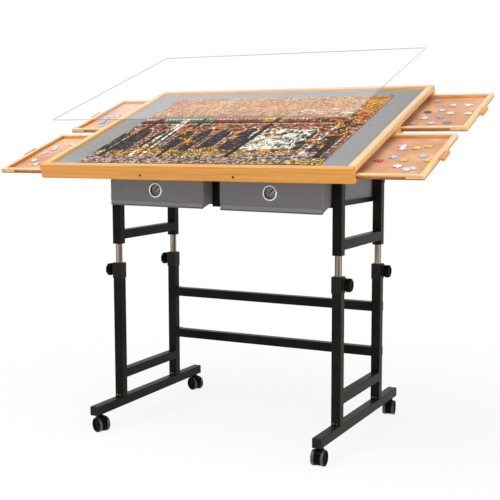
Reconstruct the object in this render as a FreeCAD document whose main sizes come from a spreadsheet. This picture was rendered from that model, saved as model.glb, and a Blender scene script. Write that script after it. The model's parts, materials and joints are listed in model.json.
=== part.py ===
import FreeCAD, Part
import math
import os
import re
from FreeCAD import Placement, Rotation, Vector

# Tilting jigsaw table on a wheeled, height-adjustable steel frame.
# Row frame: X across the table, -Y to the sitter, Z up, origin on the floor at the middle of the feet.
# The tabletop is drawn in its own frame: x across, s from the front top edge to the back, n up from
# the top face. It is then turned by the tilt about the pivots on the front legs.

DIMENSIONS = {
    # casters
    "wheel_radius": 20.3,
    "wheel_width": 12.0,
    "wheel_gap": 10.0,
    "axle_radius": 2.5,
    "stem_radius": 4.0,
    "caster_inset": 22.8,
    "trail": 9.0,
    "caster_head": 6.4,
    "swivel_front_left": 67.0,
    "swivel_rear_left": 67.0,
    "swivel_front_right": 3.0,
    "swivel_rear_right": 11.0,
    # steel frame
    "tube": 25.0,
    "wall": 1.5,
    "tube_corner": 1.8,
    "leg_inset": 110.9,
    "front_leg_y": -149.5,
    "rear_leg_y": 141.6,
    "foot_length": 561.6,
    "foot_cap": 2.0,
    "lower_leg_length": 349.8,
    "side_bar_rise": 52.0,
    "upper_stretcher_rise": 246.7,
    "lower_stretcher_rise": 120.8,
    "spigot_height": 9.0,
    "foot_screw": 1.5,
    "tab_screw": 1.9,
    # clamp collars and their knobs
    "collar_grip": 13.0,
    "collar_height": 42.0,
    "collar_thick": 1.6,
    "lug_reach": 5.9,
    "clamp_rise": 8.9,
    "stud_radius": 4.0,
    "knob_radius": 17.5,
    "knob_length": 14.0,
    # sliding upper frame
    "inner_tube_radius": 9.25,
    "inner_tube_length": 426.0,
    "inner_tube_grip": 59.9,
    "travel_down": 53.1,
    "cross_bar_rise": 12.7,
    "cross_rail_height": 22.0,
    "pivot_radius": 4.0,
    "ear_radius": 9.5,
    "leg_cap": 3.0,
    # fabric bins and what they slide on
    "bin_rail_rise": 118.5,
    "bin_rail_height": 12.4,
    "bin_rail_reach": 19.6,
    "sheet_thick": 2.0,
    "hanger_width": 46.0,
    "hanger_lip": 13.0,
    "hanger_apron": 6.0,
    "bin_height": 73.1,
    "bin_front_y": -211.0,
    "bin_back_y": 150.0,
    "bin_sag": 12.5,
    "bin_wall": 2.5,
    "bin_side_gap": 4.9,
    "bin_clearance": 0.3,
    "ring_radius": 20.5,
    "ring_hole": 15.0,
    "ring_drop": 39.0,
    # tabletop
    "tilt": 18.75,
    "pivot_s": 195.7,
    "top_width": 875.0,
    "top_depth": 663.0,
    "top_height": 36.5,
    "rail": 18.0,
    "strip": 15.5,
    "panel": 6.0,
    "felt": 1.5,
    "felt_drop": 8.0,
    "base_panel": 3.0,
    "centre_rail": 45.0,
    "spine": 18.0,
    "edge_round": 1.2,
    "screw_sink": 3.3,
    "tilt_bar_width": 21.4,
    "tilt_bar_height": 20.0,
    "tilt_bar_front": 70.0,
    "tilt_bar_inset": 5.0,
    "clamp_drop": 11.3,
    "plate": 3.0,
    "quadrant_half": 11.0,
    "steepest": 25.0,
    "tilt_stud_radius": 3.0,
    # drawers
    "drawer_length": 400.0,
    "drawer_gap": 0.7,
    "drawer_height": 11.0,
    "drawer_floor": 3.0,
    "drawer_rim": 12.0,
    "drawer_lift": 1.8,
    "groove_depth": 6.0,
    "groove_height": 6.0,
    "groove_stop": 43.0,
    "runner": 5.0,
    "open_right_front": 158.5,
    "open_right_rear": 167.5,
    "open_left_front": 150.5,
    "open_left_rear": 148.5,
    "handle_length": 50.0,
    # puzzle and cover: bare felt round the puzzle, play round the cover
    "felt_sides": 76.5,
    "felt_front": 22.0,
    "felt_back": 55.0,
    "card": 2.0,
    "pane": 2.0,
    "cover_side_gap": 3.0,
    "cover_end_gap": 6.0,
    "cover_corner": 8.0,
    "cover_back": 42.9,
    "cover_lift": 104.8,
}

# heights and widths that follow from the sizes above
LINKED = {
    "leg_x": "top_width/2 - leg_inset",
    "caster_y": "foot_length/2 - caster_inset",
    "foot_bottom": "2*wheel_radius + caster_head",
    "foot_top": "foot_bottom + tube",
    "lower_leg_top": "foot_top + lower_leg_length",
    "side_bar_bottom": "foot_top + side_bar_rise",
    "upper_stretcher_bottom": "foot_top + upper_stretcher_rise",
    "lower_stretcher_bottom": "foot_top + lower_stretcher_rise",
    "collar_bottom": "lower_leg_top - collar_grip",
    "collar_top": "collar_bottom + collar_height",
    "collar_width": "tube + 2*collar_thick",
    "clamp_height": "lower_leg_top + clamp_rise",
    "upper_leg_bottom": "collar_top + travel_down",
    "inner_tube_top": "upper_leg_bottom + inner_tube_grip",
    "inner_tube_bottom": "inner_tube_top - inner_tube_length",
    "cross_bar_bottom": "upper_leg_bottom + cross_bar_rise",
    "bin_rail_bottom": "upper_leg_bottom + bin_rail_rise",
    "bin_base": "bin_rail_bottom + sheet_thick + bin_clearance",
    "bin_rim": "bin_base + bin_height",
    "ring_height": "bin_rim - ring_drop",
    "cross_rail_bottom": "bin_rim + 3",
    "front_leg_top": "cross_rail_bottom + cross_rail_height + 2",
    "pivot_height": "front_leg_top + 2*ear_radius + 1.3",
    "rear_leg_top": "pivot_height - tilt_bar_height/2 - leg_cap - 1",
    "clamp_z": "rear_leg_top - clamp_drop",
    "hanger_drop": "bin_rail_bottom - hanger_apron",
    "hanger_flange": "hanger_width + 2*hanger_lip",
    "bin_inner_x": "hanger_width/2 + 1.7",
    "bin_width": "leg_x - tube/2 - bin_side_gap - bin_inner_x",
    "bin_sag_length": "front_leg_y - tube/2 - 1.5 - bin_front_y",
    "pivot_n": "-top_height - tilt_bar_height/2",
    "tilt_bar_back": "top_depth - tilt_bar_inset",
    "drawer_width": "(top_depth - 2*rail - centre_rail)/2 - 2*drawer_gap",
    "puzzle_width": "top_width - 2*rail - 2*felt_sides",
    "puzzle_depth": "top_depth - 2*rail - felt_front - felt_back",
    "puzzle_s": "rail + felt_front + puzzle_depth/2",
    "cover_width": "top_width - 2*rail - 2*cover_side_gap",
    "cover_depth": "top_depth - 2*rail - 2*cover_end_gap",
}

doc = FreeCAD.newDocument("puzzle_table")
sheet = doc.addObject("Spreadsheet::Sheet", "Dims")
for row, (alias, size) in enumerate(DIMENSIONS.items(), 1):
    sheet.set(f"A{row}", alias)
    sheet.set(f"B{row}", str(size))
    sheet.setAlias(f"B{row}", alias)
doc.recompute()

GAP = 0.05
AXIS_TURN = {
    "X": Rotation(Vector(0, 1, 0), 90),
    "Y": Rotation(Vector(1, 0, 0), -90),
    "Z": Rotation(),
}
SIDES = {"left": -1, "right": 1}
ENDS = {"front": -1, "rear": 1}
LEG_Y = {"front": "front_leg_y", "rear": "rear_leg_y"}
INNER_X = "(leg_x - tube/2)"
OUTER_X = "(leg_x + tube/2)"

nodes = []
helper_count = 0


def expand(formula):
    """A formula with its linked sizes written out, in the names of the sheet."""

    def full_name(match):
        word = match.group(0)
        if word in LINKED:
            return f"({expand(LINKED[word])})"
        return f"Dims.{word}" if word in DIMENSIONS else word

    return re.sub(r"[a-z_]+", full_name, str(formula))


def get(formula):
    """The value of a formula as a number."""
    return float(sheet.evalExpression(expand(formula)))


def bind(obj, prop, formula):
    """Bind a property to a formula in the names of the sheet."""
    obj.setExpression(prop, expand(formula))


def helper(kind, stem):
    """A construction object with a name of its own."""
    global helper_count
    helper_count += 1
    return doc.addObject(kind, f"{stem}_{helper_count}")


def place(obj, at):
    """Bind the base point of an object's placement."""
    for letter, formula in zip("xyz", at):
        bind(obj, f".Placement.Base.{letter}", formula)


def block(size, centre, stem="block"):
    """A box given by its size and its centre."""
    box = helper("Part::Box", stem)
    for prop, formula in zip(("Length", "Width", "Height"), size):
        bind(box, prop, formula)
    place(box, [f"({c}) - ({s})/2" for c, s in zip(centre, size)])
    return box


def span(low, high, stem="block"):
    """A box given by its two opposite corners."""
    size = [f"({b}) - ({a})" for a, b in zip(low, high)]
    box = helper("Part::Box", stem)
    for prop, formula in zip(("Length", "Width", "Height"), size):
        bind(box, prop, formula)
    place(box, low)
    return box


def rod(radius, length, start, axis="Z", stem="rod"):
    """A cylinder that runs from start along +axis."""
    cylinder = helper("Part::Cylinder", stem)
    bind(cylinder, "Radius", radius)
    bind(cylinder, "Height", length)
    cylinder.Placement = Placement(Vector(), AXIS_TURN[axis])
    place(cylinder, start)
    return cylinder


def side_rod(side, radius, near, far, y, z, stem="rod"):
    """A cylinder along X on one side of the table, between two distances from the middle."""
    low = f"{near}" if side > 0 else f"-({far})"
    return rod(radius, f"({far}) - ({near})", (low, y, z), "X", stem)


def side_span(side, near, far, y, z, stem="block"):
    """A box on one side of the table, between two distances from the middle."""
    low, high = (near, far) if side > 0 else (f"-({far})", f"-({near})")
    return span((low, y[0], z[0]), (high, y[1], z[1]), stem)


def fuse(parts, stem="joined"):
    """One solid out of several that touch."""
    if len(parts) == 1:
        return parts[0]
    union = helper("Part::MultiFuse", stem)
    union.Shapes = parts
    union.Refine = True
    return union


def cut(base, tools, stem="cut"):
    """The base less the tools."""
    result = helper("Part::Cut", stem)
    result.Base = base
    result.Tool = tools[0] if len(tools) == 1 else group(tools)
    return result


def group(parts, stem="group"):
    """Several solids that stay apart."""
    several = helper("Part::Compound", stem)
    several.Links = parts
    return several


def rounded(base, radius, pick, stem="rounded"):
    """The base with the picked edges rounded."""
    doc.recompute()
    result = helper("Part::Fillet", stem)
    result.Base = base
    size = get(radius) if isinstance(radius, str) else radius
    result.Edges = [(i, size, size) for i, edge in enumerate(base.Shape.Edges, 1) if pick(edge)]
    return result


def along(axis):
    """A pick of the straight edges that run along an axis."""
    way = {"X": Vector(1, 0, 0), "Y": Vector(0, 1, 0), "Z": Vector(0, 0, 1)}[axis]

    def pick(edge):
        if not isinstance(edge.Curve, Part.Line):
            return False
        return abs(abs(edge.tangentAt(edge.FirstParameter).dot(way)) - 1) < 1e-6

    return pick


def level(height):
    """A pick of the edges that lie at one height."""
    z = get(height)
    return lambda edge: abs(edge.BoundBox.ZMin - z) < 1e-3 and abs(edge.BoundBox.ZMax - z) < 1e-3


def circles(radius):
    """A pick of the round edges of one radius."""

    def pick(edge):
        return isinstance(edge.Curve, Part.Circle) and abs(edge.Curve.Radius - radius) < 1e-6

    return pick


def outer_rim(radius):
    """A pick of the round edge that faces away from the table on a head beside a leg."""
    face = get("leg_x + tube/2 + 1")
    return lambda edge: circles(radius)(edge) and abs(edge.CenterOfMass.x) > face


def node(obj, label):
    """Keep an object as a named piece of the table."""
    obj.Label = label
    nodes.append(obj)
    return obj


def on_top(obj, label):
    """Keep a piece that is drawn in the tabletop's frame and tilts with it."""
    if obj.TypeId == "Part::Box":
        obj = group([obj])
    obj.Placement = Placement(Vector(), Rotation(Vector(1, 0, 0), get("tilt")))
    bind(obj, ".Placement.Base.y", "front_leg_y - pivot_s*cos(tilt*1deg) + pivot_n*sin(tilt*1deg)")
    bind(obj, ".Placement.Base.z", "pivot_height - pivot_s*sin(tilt*1deg) - pivot_n*cos(tilt*1deg)")
    bind(obj, ".Placement.Rotation.Angle", "tilt")
    return node(obj, label)


def bar_stock(outer_size, centre, axis):
    """The outside of a square tube, with its long corners rounded."""
    return rounded(block(outer_size, centre), "tube_corner", along(axis))


def hollow(outer_size, centre, axis, stem="tube"):
    """Square or flat tube: rounded outside less a longer inner block."""
    run = "XYZ".index(axis)
    inner_size = [s if i == run else f"({s}) - 2*wall" for i, s in enumerate(outer_size)]
    return cut(bar_stock(outer_size, centre, axis), [block(inner_size, centre)], stem)


def fluted_knob(side, near, length, radius, stud, stud_from, boss, y, z):
    """A round plastic knob with finger flutes, its boss and its moulded-in stud."""
    face = f"{near} + 2"
    head = side_rod(side, radius, face, f"{face} + {length}", y, z, "head")
    flutes = []
    count = 8
    for turn in range(count):
        angle = 2 * math.pi * (turn + 0.5) / count
        dy = f"({y}) + ({radius} + 1.2)*{math.cos(angle):.5f}"
        dz = f"({z}) + ({radius} + 1.2)*{math.sin(angle):.5f}"
        flutes.append(side_rod(side, "3.2", face, f"{face} + {length}", dy, dz, "flute"))
    boss_rod = side_rod(side, boss, near, f"{near} + 3", y, z, "boss")
    stud_rod = side_rod(side, stud, stud_from, f"{near} + 4", y, z, "stud")
    body = fuse([cut(head, flutes), boss_rod, stud_rod])
    return body


# ---------------------------------------------------------------- lower frame
# the legs stand over spigots on the feet and are held by two small screws each
FOOT_SCREW_X = (-4.5, 4.5)
FOOT_SCREW_Z = f"(foot_top + 5)"

for name, side in SIDES.items():
    x = f"{side}*leg_x"
    tube = hollow(("tube", "foot_length", "tube"), (x, "0", "foot_bottom + tube/2"), "Y")
    holes = [
        rod(f"stem_radius + {GAP}", "wall + 2", (x, f"{end}*caster_y", "foot_bottom - 1"))
        for end in ENDS.values()
    ]
    parts = [tube]
    width = "tube - 2*wall - 0.2"
    for leg_y in LEG_Y.values():
        parts.append(block((width, width, "spigot_height"), (x, leg_y, f"foot_top + spigot_height/2")))
        for dx in FOOT_SCREW_X:
            start = (f"{x} + {dx}", f"{leg_y} - tube/2", FOOT_SCREW_Z)
            holes.append(rod(f"foot_screw + {GAP}", "6", start, "Y"))
    node(cut(fuse(parts), holes), f"foot_{name}")

caps = []
for side in SIDES.values():
    for end in ENDS.values():
        x = f"{side}*leg_x"
        z = "foot_bottom + tube/2"
        plate = block(("tube", "foot_cap", "tube"), (x, f"{end}*(foot_length + foot_cap)/2", z))
        inside = "tube - 2*wall - 0.2"
        plug = block((inside, "10", inside), (x, f"{end}*(foot_length/2 - 5)", z))
        plate = rounded(plate, "tube_corner", along("Y"))
        face_y = get("foot_length/2 + foot_cap")
        plate = rounded(plate, 0.8, lambda e: abs(abs(e.CenterOfMass.y) - face_y) < 1e-6)
        caps.append(fuse([plate, plug]))
node(group(caps), "foot_end_caps")

# tabs on the back of the stretchers are screwed to the back walls of the rear legs,
# with screws that end flush inside, clear of the sliding tubes
STRETCHERS = {"upper_stretcher": "upper_stretcher_bottom", "lower_stretcher": "lower_stretcher_bottom"}
TAB_SCREW_X = (-5, 5)
REAR_FACE = "(rear_leg_y + tube/2)"

for name, side in SIDES.items():
    x = f"{side}*leg_x"
    parts = []
    bores = []
    inside = "tube - 2*wall"
    for leg_y in LEG_Y.values():
        middle = (x, leg_y, f"(lower_leg_top + foot_top)/2")
        parts.append(bar_stock(("tube", "tube", f"lower_leg_top - foot_top"), middle, "Z"))
        bores.append(block((inside, inside, f"lower_leg_top - foot_top"), middle))
        for dx in FOOT_SCREW_X:
            start = (f"{x} + {dx}", f"{leg_y} - tube/2 - 1", FOOT_SCREW_Z)
            bores.append(rod(f"foot_screw + {GAP}", "wall + 2", start, "Y"))
    bar_size = ("tube", "rear_leg_y - front_leg_y", "tube")
    parts.append(bar_stock(bar_size, (x, "(front_leg_y + rear_leg_y)/2", "side_bar_bottom + tube/2"), "Y"))
    bar_low = (f"{x} - tube/2 + wall", "front_leg_y + tube/2", "side_bar_bottom + wall")
    bar_high = (f"{x} + tube/2 - wall", "rear_leg_y - tube/2", "side_bar_bottom + tube - wall")
    bores.append(span(bar_low, bar_high))
    for bottom in STRETCHERS.values():
        for dx in TAB_SCREW_X:
            start = (f"{x} + {dx}", f"{REAR_FACE} - wall - 1", f"{bottom} + tube/2")
            bores.append(rod(f"tab_screw + {GAP}", "wall + 2", start, "Y"))
    node(cut(fuse(parts), bores), f"lower_frame_{name}")

for label, bottom in STRETCHERS.items():
    z = f"{bottom} + tube/2"
    parts = [hollow((f"2*{INNER_X}", "tube", "tube"), ("0", "rear_leg_y", z), "X")]
    bores = []
    for side in SIDES.values():
        tab_y = (REAR_FACE, f"{REAR_FACE} + sheet_thick")
        tab_z = (bottom, f"{bottom} + tube")
        parts.append(side_span(side, f"{INNER_X} - 10", OUTER_X, tab_y, tab_z))
        for dx in TAB_SCREW_X:
            start = (f"{side}*leg_x + {dx}", f"{REAR_FACE} - 1", z)
            bores.append(rod(f"tab_screw + {GAP}", "sheet_thick + 2", start, "Y"))
    node(cut(fuse(parts), bores), label)

bolts = []
for side in SIDES.values():
    for bottom in STRETCHERS.values():
        for dx in TAB_SCREW_X:
            x = f"{side}*leg_x + {dx}"
            z = f"{bottom} + tube/2"
            head = rod("3.4", "2.2", (x, f"{REAR_FACE} + sheet_thick", z), "Y")
            reach = f"wall + sheet_thick - {GAP} + 1"
            shank = rod("tab_screw", reach, (x, f"{REAR_FACE} - wall + {GAP}", z), "Y")
            bolts.append(fuse([head, shank]))
    for leg_y in LEG_Y.values():
        for dx in FOOT_SCREW_X:
            x = f"{side}*leg_x + {dx}"
            head = rod("2.9", "2", (x, f"{leg_y} - tube/2 - 2", FOOT_SCREW_Z), "Y")
            shank = rod("foot_screw", "6", (x, f"{leg_y} - tube/2 - 1", FOOT_SCREW_Z), "Y")
            bolts.append(fuse([head, shank]))
node(group(bolts), "frame_bolts")

# ---------------------------------------------------------------- clamp collars and knobs
collars = []
FACE = "(leg_x + collar_width/2)"
LUG_END = f"({FACE} + lug_reach)"
for side in SIDES.values():
    for leg_y in LEG_Y.values():
        x = f"{side}*leg_x"
        sleeve_size = ("collar_width", "collar_width", "collar_height")
        sleeve = block(sleeve_size, (x, leg_y, "(collar_top + collar_bottom)/2"))
        lug_y = (f"{leg_y} - 9", f"{leg_y} + 9")
        lug_z = ("collar_bottom + 8", "collar_top - 3")
        lug = side_span(side, f"{FACE} - 2", LUG_END, lug_y, lug_z)
        corners = rounded(sleeve, 2.0, along("Z"))
        outer = fuse([corners, rounded(lug, 2.0, along("Z"))])
        seat_size = ("tube + 0.1", "tube + 0.1", "lower_leg_top - collar_bottom")
        seat = block(seat_size, (x, leg_y, "(lower_leg_top + collar_bottom)/2"))
        bore_run = "collar_top - lower_leg_top + 2"
        bore = rod(f"inner_tube_radius + {GAP}", bore_run, (x, leg_y, "lower_leg_top - 1"))
        thread = side_rod(side, f"stud_radius + {GAP}", "leg_x", f"{LUG_END} + 1", leg_y, "clamp_height")
        slit_y = (f"{leg_y} - 0.8", f"{leg_y} + 0.8")
        slit_z = ("clamp_height + 8", "collar_top + 1")
        slit = side_span(side, "leg_x + inner_tube_radius - 1", f"{LUG_END} + 1", slit_y, slit_z)
        collars.append(cut(outer, [seat, bore, thread, slit]))
node(group(collars), "clamp_collars")

for end_name, leg_y in LEG_Y.items():
    for side_name, side in SIDES.items():
        knob = fluted_knob(side, f"({LUG_END} + 0.2)", "knob_length", "knob_radius", "stud_radius",
                           "leg_x + inner_tube_radius + 0.2", "8", leg_y, "clamp_height")
        node(knob, f"clamp_knob_{end_name}_{side_name}")

# ---------------------------------------------------------------- sliding upper frame
for name, side in SIDES.items():
    x = f"{side}*leg_x"
    tops = {"front": "front_leg_top", "rear": "rear_leg_top"}
    parts = []
    bores = []
    for end_name, leg_y in LEG_Y.items():
        top = tops[end_name]
        middle = (x, leg_y, f"({top} + upper_leg_bottom)/2")
        inside = "tube - 2*wall"
        parts.append(bar_stock(("tube", "tube", f"{top} - upper_leg_bottom"), middle, "Z"))
        bores.append(block((inside, inside, f"{top} - upper_leg_bottom"), middle))
    bar_size = ("tube", "rear_leg_y - front_leg_y", "tube")
    parts.append(bar_stock(bar_size, (x, "(front_leg_y + rear_leg_y)/2", "cross_bar_bottom + tube/2"), "Y"))
    low = (f"{x} - tube/2 + wall", "front_leg_y + tube/2", "cross_bar_bottom + wall")
    high = (f"{x} + tube/2 - wall", "rear_leg_y - tube/2", "cross_bar_bottom + tube - wall")
    bores.append(span(low, high))
    for near in (INNER_X, f"({OUTER_X} - wall)"):
        far = f"{near} + wall"
        ear_y = ("front_leg_y - ear_radius", "front_leg_y + ear_radius")
        parts.append(side_span(side, near, far, ear_y, ("front_leg_top - 4", "pivot_height")))
        parts.append(side_rod(side, "ear_radius", near, far, "front_leg_y", "pivot_height"))
    pin_run = (f"{INNER_X} - 1", f"{OUTER_X} + 1")
    bores.append(side_rod(side, f"pivot_radius + {GAP}/5", *pin_run, "front_leg_y", "pivot_height"))
    stud_run = (f"{OUTER_X} - wall - 1", f"{OUTER_X} + 1")
    bores.append(side_rod(side, f"tilt_stud_radius + {GAP}", *stud_run, "rear_leg_y", "clamp_z"))
    node(cut(fuse(parts), bores), f"upper_frame_{name}")

# the front caps lie between the hinge ears; the rear plugs stop above the tilt studs
LEG_CAPS = {
    "front": ("front_leg_top", "tube - 2*wall - 0.2", "leg_cap", "12"),
    "rear": ("rear_leg_top", "tube", "leg_cap + 0.7", "7"),
}
tubes = []
bushes = []
leg_caps = []
for side in SIDES.values():
    for end_name, leg_y in LEG_Y.items():
        x = f"{side}*leg_x"
        run = "inner_tube_top - inner_tube_bottom"
        outer = rod("inner_tube_radius", run, (x, leg_y, "inner_tube_bottom"))
        inner = rod("inner_tube_radius - 1.2", run, (x, leg_y, "inner_tube_bottom"))
        tubes.append(cut(outer, [inner]))
        inside = "tube - 2*wall - 0.2"
        guide = block((inside, inside, "20"), (x, leg_y, "inner_tube_bottom + 12"))
        socket = block((inside, inside, "30"), (x, leg_y, "upper_leg_bottom + 15"))
        hole = f"inner_tube_radius + {GAP}/5"
        bushes.append(cut(guide, [rod(hole, "40", (x, leg_y, "inner_tube_bottom"))]))
        bushes.append(cut(socket, [rod(hole, "40", (x, leg_y, "upper_leg_bottom - 1"))]))
        top, width, thick, depth = LEG_CAPS[end_name]
        plate = bar_stock((width, "tube", thick), (x, leg_y, f"{top} + ({thick})/2"), "Z")
        plug = block((inside, inside, depth), (x, leg_y, f"{top} - ({depth})/2"))
        leg_caps.append(fuse([plate, plug]))
node(group(tubes), "inner_tubes")
node(group(bushes), "tube_bushes")
node(group(leg_caps), "leg_caps")

rails = []
for leg_y in LEG_Y.values():
    rail_size = (f"2*{INNER_X}", "tube", "cross_rail_height")
    rails.append(hollow(rail_size, ("0", leg_y, "cross_rail_bottom + cross_rail_height/2"), "X"))
node(group(rails), "cross_rails")

y_run = ("front_leg_y - tube/2", "rear_leg_y + tube/2")
angles = []
for side in SIDES.values():
    shelf_z = ("bin_rail_bottom", "bin_rail_bottom + sheet_thick")
    shelf = side_span(side, f"{INNER_X} - bin_rail_reach", INNER_X, y_run, shelf_z)
    web_z = ("bin_rail_bottom", "bin_rail_bottom + bin_rail_height")
    web = side_span(side, f"{INNER_X} - sheet_thick", INNER_X, y_run, web_z)
    angles.append(fuse([shelf, web]))
node(group(angles), "bin_rails")

half = "hanger_width/2"
flange = block(("hanger_flange", "rear_leg_y - front_leg_y + tube", "sheet_thick"),
               ("0", "(front_leg_y + rear_leg_y)/2", "bin_rail_bottom + sheet_thick/2"))
web = span(("-sheet_thick/2", y_run[0], "bin_rail_bottom"), ("sheet_thick/2", y_run[1], "cross_rail_bottom"))
front = span((f"-{half}", y_run[0], "hanger_drop"), (half, f"{y_run[0]} + sheet_thick", "cross_rail_bottom"))
back = span((f"-{half}", f"{y_run[1]} - sheet_thick", "hanger_drop"), (half, y_run[1], "cross_rail_bottom"))
node(fuse([flange, web, front, back]), "centre_hanger")

pins = []
for side in SIDES.values():
    shank = side_rod(side, "pivot_radius", f"{INNER_X} - 3", f"{OUTER_X} + 1", "front_leg_y", "pivot_height")
    head = side_rod(side, "6.5", OUTER_X, f"{OUTER_X} + 3", "front_leg_y", "pivot_height")
    nut = side_rod(side, "6.5", f"{INNER_X} - 4", INNER_X, "front_leg_y", "pivot_height")
    pins.append(fuse([shank, rounded(head, 1.5, outer_rim(6.5)), nut]))
node(group(pins), "pivot_pins")

for name, side in SIDES.items():
    near = f"({OUTER_X} + 1 + plate + 0.4)"
    knob = fluted_knob(side, near, "15", "14.5", f"tilt_stud_radius - {GAP}", f"{OUTER_X} - wall - 5", "6.5",
                       "rear_leg_y", "clamp_z")
    node(knob, f"tilt_knob_{name}")

# ---------------------------------------------------------------- fabric bins
for name, side in SIDES.items():
    far = "bin_inner_x + bin_width"
    outer = side_span(side, "bin_inner_x", far, ("bin_front_y", "bin_back_y"), ("bin_base", "bin_rim"))
    sag = helper("Part::Wedge", "sag")
    low = "bin_inner_x" if side > 0 else f"-({far})"
    bind(sag, "Xmin", "0")
    bind(sag, "Xmax", "bin_width")
    bind(sag, "X2min", "0")
    bind(sag, "X2max", "bin_width")
    bind(sag, "Ymin", "0")
    bind(sag, "Ymax", "bin_sag_length")
    bind(sag, "Zmin", "-bin_sag")
    bind(sag, "Zmax", "bin_wall")
    bind(sag, "Z2min", "0")
    bind(sag, "Z2max", "bin_wall")
    place(sag, (low, "bin_front_y", "bin_base"))
    inside_y = ("bin_front_y + bin_wall", "bin_back_y - bin_wall")
    inside_z = ("bin_base + bin_wall", "bin_rim + 1")
    inside = side_span(side, "bin_inner_x + bin_wall", f"{far} - bin_wall", inside_y, inside_z)
    node(cut(fuse([outer, sag]), [inside]), f"bin_{name}")
    x = f"{side}*(bin_inner_x + bin_width/2)"
    disc = rod("ring_radius", "3", (x, "bin_front_y - 3", "ring_height"), "Y")
    hole = rod("ring_hole", "5", (x, "bin_front_y - 4", "ring_height"), "Y")
    ring = rounded(cut(disc, [hole]), 1.2, lambda e: e.CenterOfMass.y < get("bin_front_y") - 2.9)
    node(ring, f"bin_ring_{name}")

# ---------------------------------------------------------------- tabletop
HALF = "top_width/2"
UNDER = "-top_height + base_panel"
MIDDLE = "top_depth/2"
BAR_LOW = "-top_height - tilt_bar_height"

screw_spots = [(f"{side}*leg_x", s) for side in SIDES.values() for s in (MIDDLE, "top_depth - rail/2")]


def screw_holes():
    """Clearance for the screws that come up through the tilt bars into the wooden top."""
    return [rod(f"2 + {GAP}", "33", (x, s, f"{BAR_LOW} - 1")) for x, s in screw_spots]


front_screws = [(f"{side}*top_width*0.15", "-25.5") for side in SIDES.values()]
front = rounded(span((f"-{HALF}", "0", "-top_height"), (HALF, "rail", "0")), "edge_round", along("X"))
holes = [rod("screw_sink", "9", (x, "-1", n), "Y") for x, n in front_screws]
on_top(cut(front, holes), "front_rail")

rear = span((f"-{HALF}", "top_depth - rail", "-top_height"), (HALF, "top_depth", "0"))
on_top(cut(rounded(rear, "edge_round", along("X")), screw_holes()), "rear_rail")

for name, side in SIDES.items():
    strip = side_span(side, f"{HALF} - rail", HALF, ("rail", "top_depth - rail"), ("-strip", "0"))
    on_top(rounded(strip, "edge_round", along("Y")), f"{name}_rail")

divider = block(("top_width", "centre_rail", "top_height - strip - base_panel"),
                ("0", MIDDLE, f"(-strip + {UNDER})/2"))
spine = span(("-spine/2", "rail", UNDER), ("spine/2", "top_depth - rail", "-strip"))
on_top(cut(fuse([divider, spine]), screw_holes()), "centre_rail")

inner_width = "top_width - 2*rail"
inner_depth = "top_depth - 2*rail"
on_top(block((inner_width, inner_depth, "panel"), ("0", MIDDLE, "-strip + panel/2")), "work_panel")
on_top(block((inner_width, inner_depth, "felt"), ("0", MIDDLE, "-felt_drop - felt/2")), "felt_mat")
base = block(("top_width", inner_depth, "base_panel"), ("0", MIDDLE, "-top_height + base_panel/2"))
on_top(cut(base, screw_holes()), "base_panel")

ROWS = {
    "front": ("rail", f"({MIDDLE} - centre_rail/2)"),
    "rear": (f"({MIDDLE} + centre_rail/2)", "(top_depth - rail)"),
}
GROOVE_MID = f"({UNDER} + drawer_lift + 5)"
runners = []
for side in SIDES.values():
    for s_low, s_high in ROWS.values():
        for s_from in (s_low, f"{s_high} - runner"):
            s_run = (s_from, f"{s_from} + runner")
            n_run = (f"{GROOVE_MID} - runner/2", f"{GROOVE_MID} + runner/2")
            runners.append(side_span(side, "spine/2", f"{HALF} - groove_stop - 1", s_run, n_run))
on_top(group(runners), "drawer_runners")

bars = []
for side in SIDES.values():
    x = f"{side}*leg_x"
    length = "tilt_bar_back - tilt_bar_front"
    centre = (x, "(tilt_bar_back + tilt_bar_front)/2", "-top_height - tilt_bar_height/2")
    bar = hollow(("tilt_bar_width", length, "tilt_bar_height"), centre, "Y")
    pivot = side_rod(side, f"pivot_radius + {GAP}", "leg_x - tube/2", "leg_x + tube/2", "pivot_s", "pivot_n")
    bars.append(cut(bar, [pivot] + screw_holes()))
on_top(group(bars), "tilt_bars")

# arc plates about the pivot: the stud on the rear leg runs in their slot
low_angle = math.degrees(math.atan2(get("pivot_height - clamp_z"), get("rear_leg_y - front_leg_y")))
reach_formula = "sqrt((rear_leg_y - front_leg_y)^2 + (pivot_height - clamp_z)^2)"


def sector(side, radius, start, stop, near, thick):
    """A wedge of a disc about the pivot, between two angles below the tilt bar."""
    wedge = helper("Part::Cylinder", "sector")
    bind(wedge, "Radius", radius)
    bind(wedge, "Height", thick)
    wedge.Angle = stop - start
    turn = Rotation(Vector(0, 1, 0), 90).multiply(Rotation(Vector(0, 0, 1), 90 - stop))
    wedge.Placement = Placement(Vector(), turn)
    place(wedge, (near if side > 0 else f"-({near}) - ({thick})", "pivot_s", "pivot_n"))
    return wedge


def arc_point(angle):
    """A point on the slot's middle line, in s and n."""
    turn = math.radians(angle)
    s = f"pivot_s + {reach_formula}*{math.cos(turn):.6f}"
    return s, f"pivot_n - {reach_formula}*{math.sin(turn):.6f}"


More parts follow.
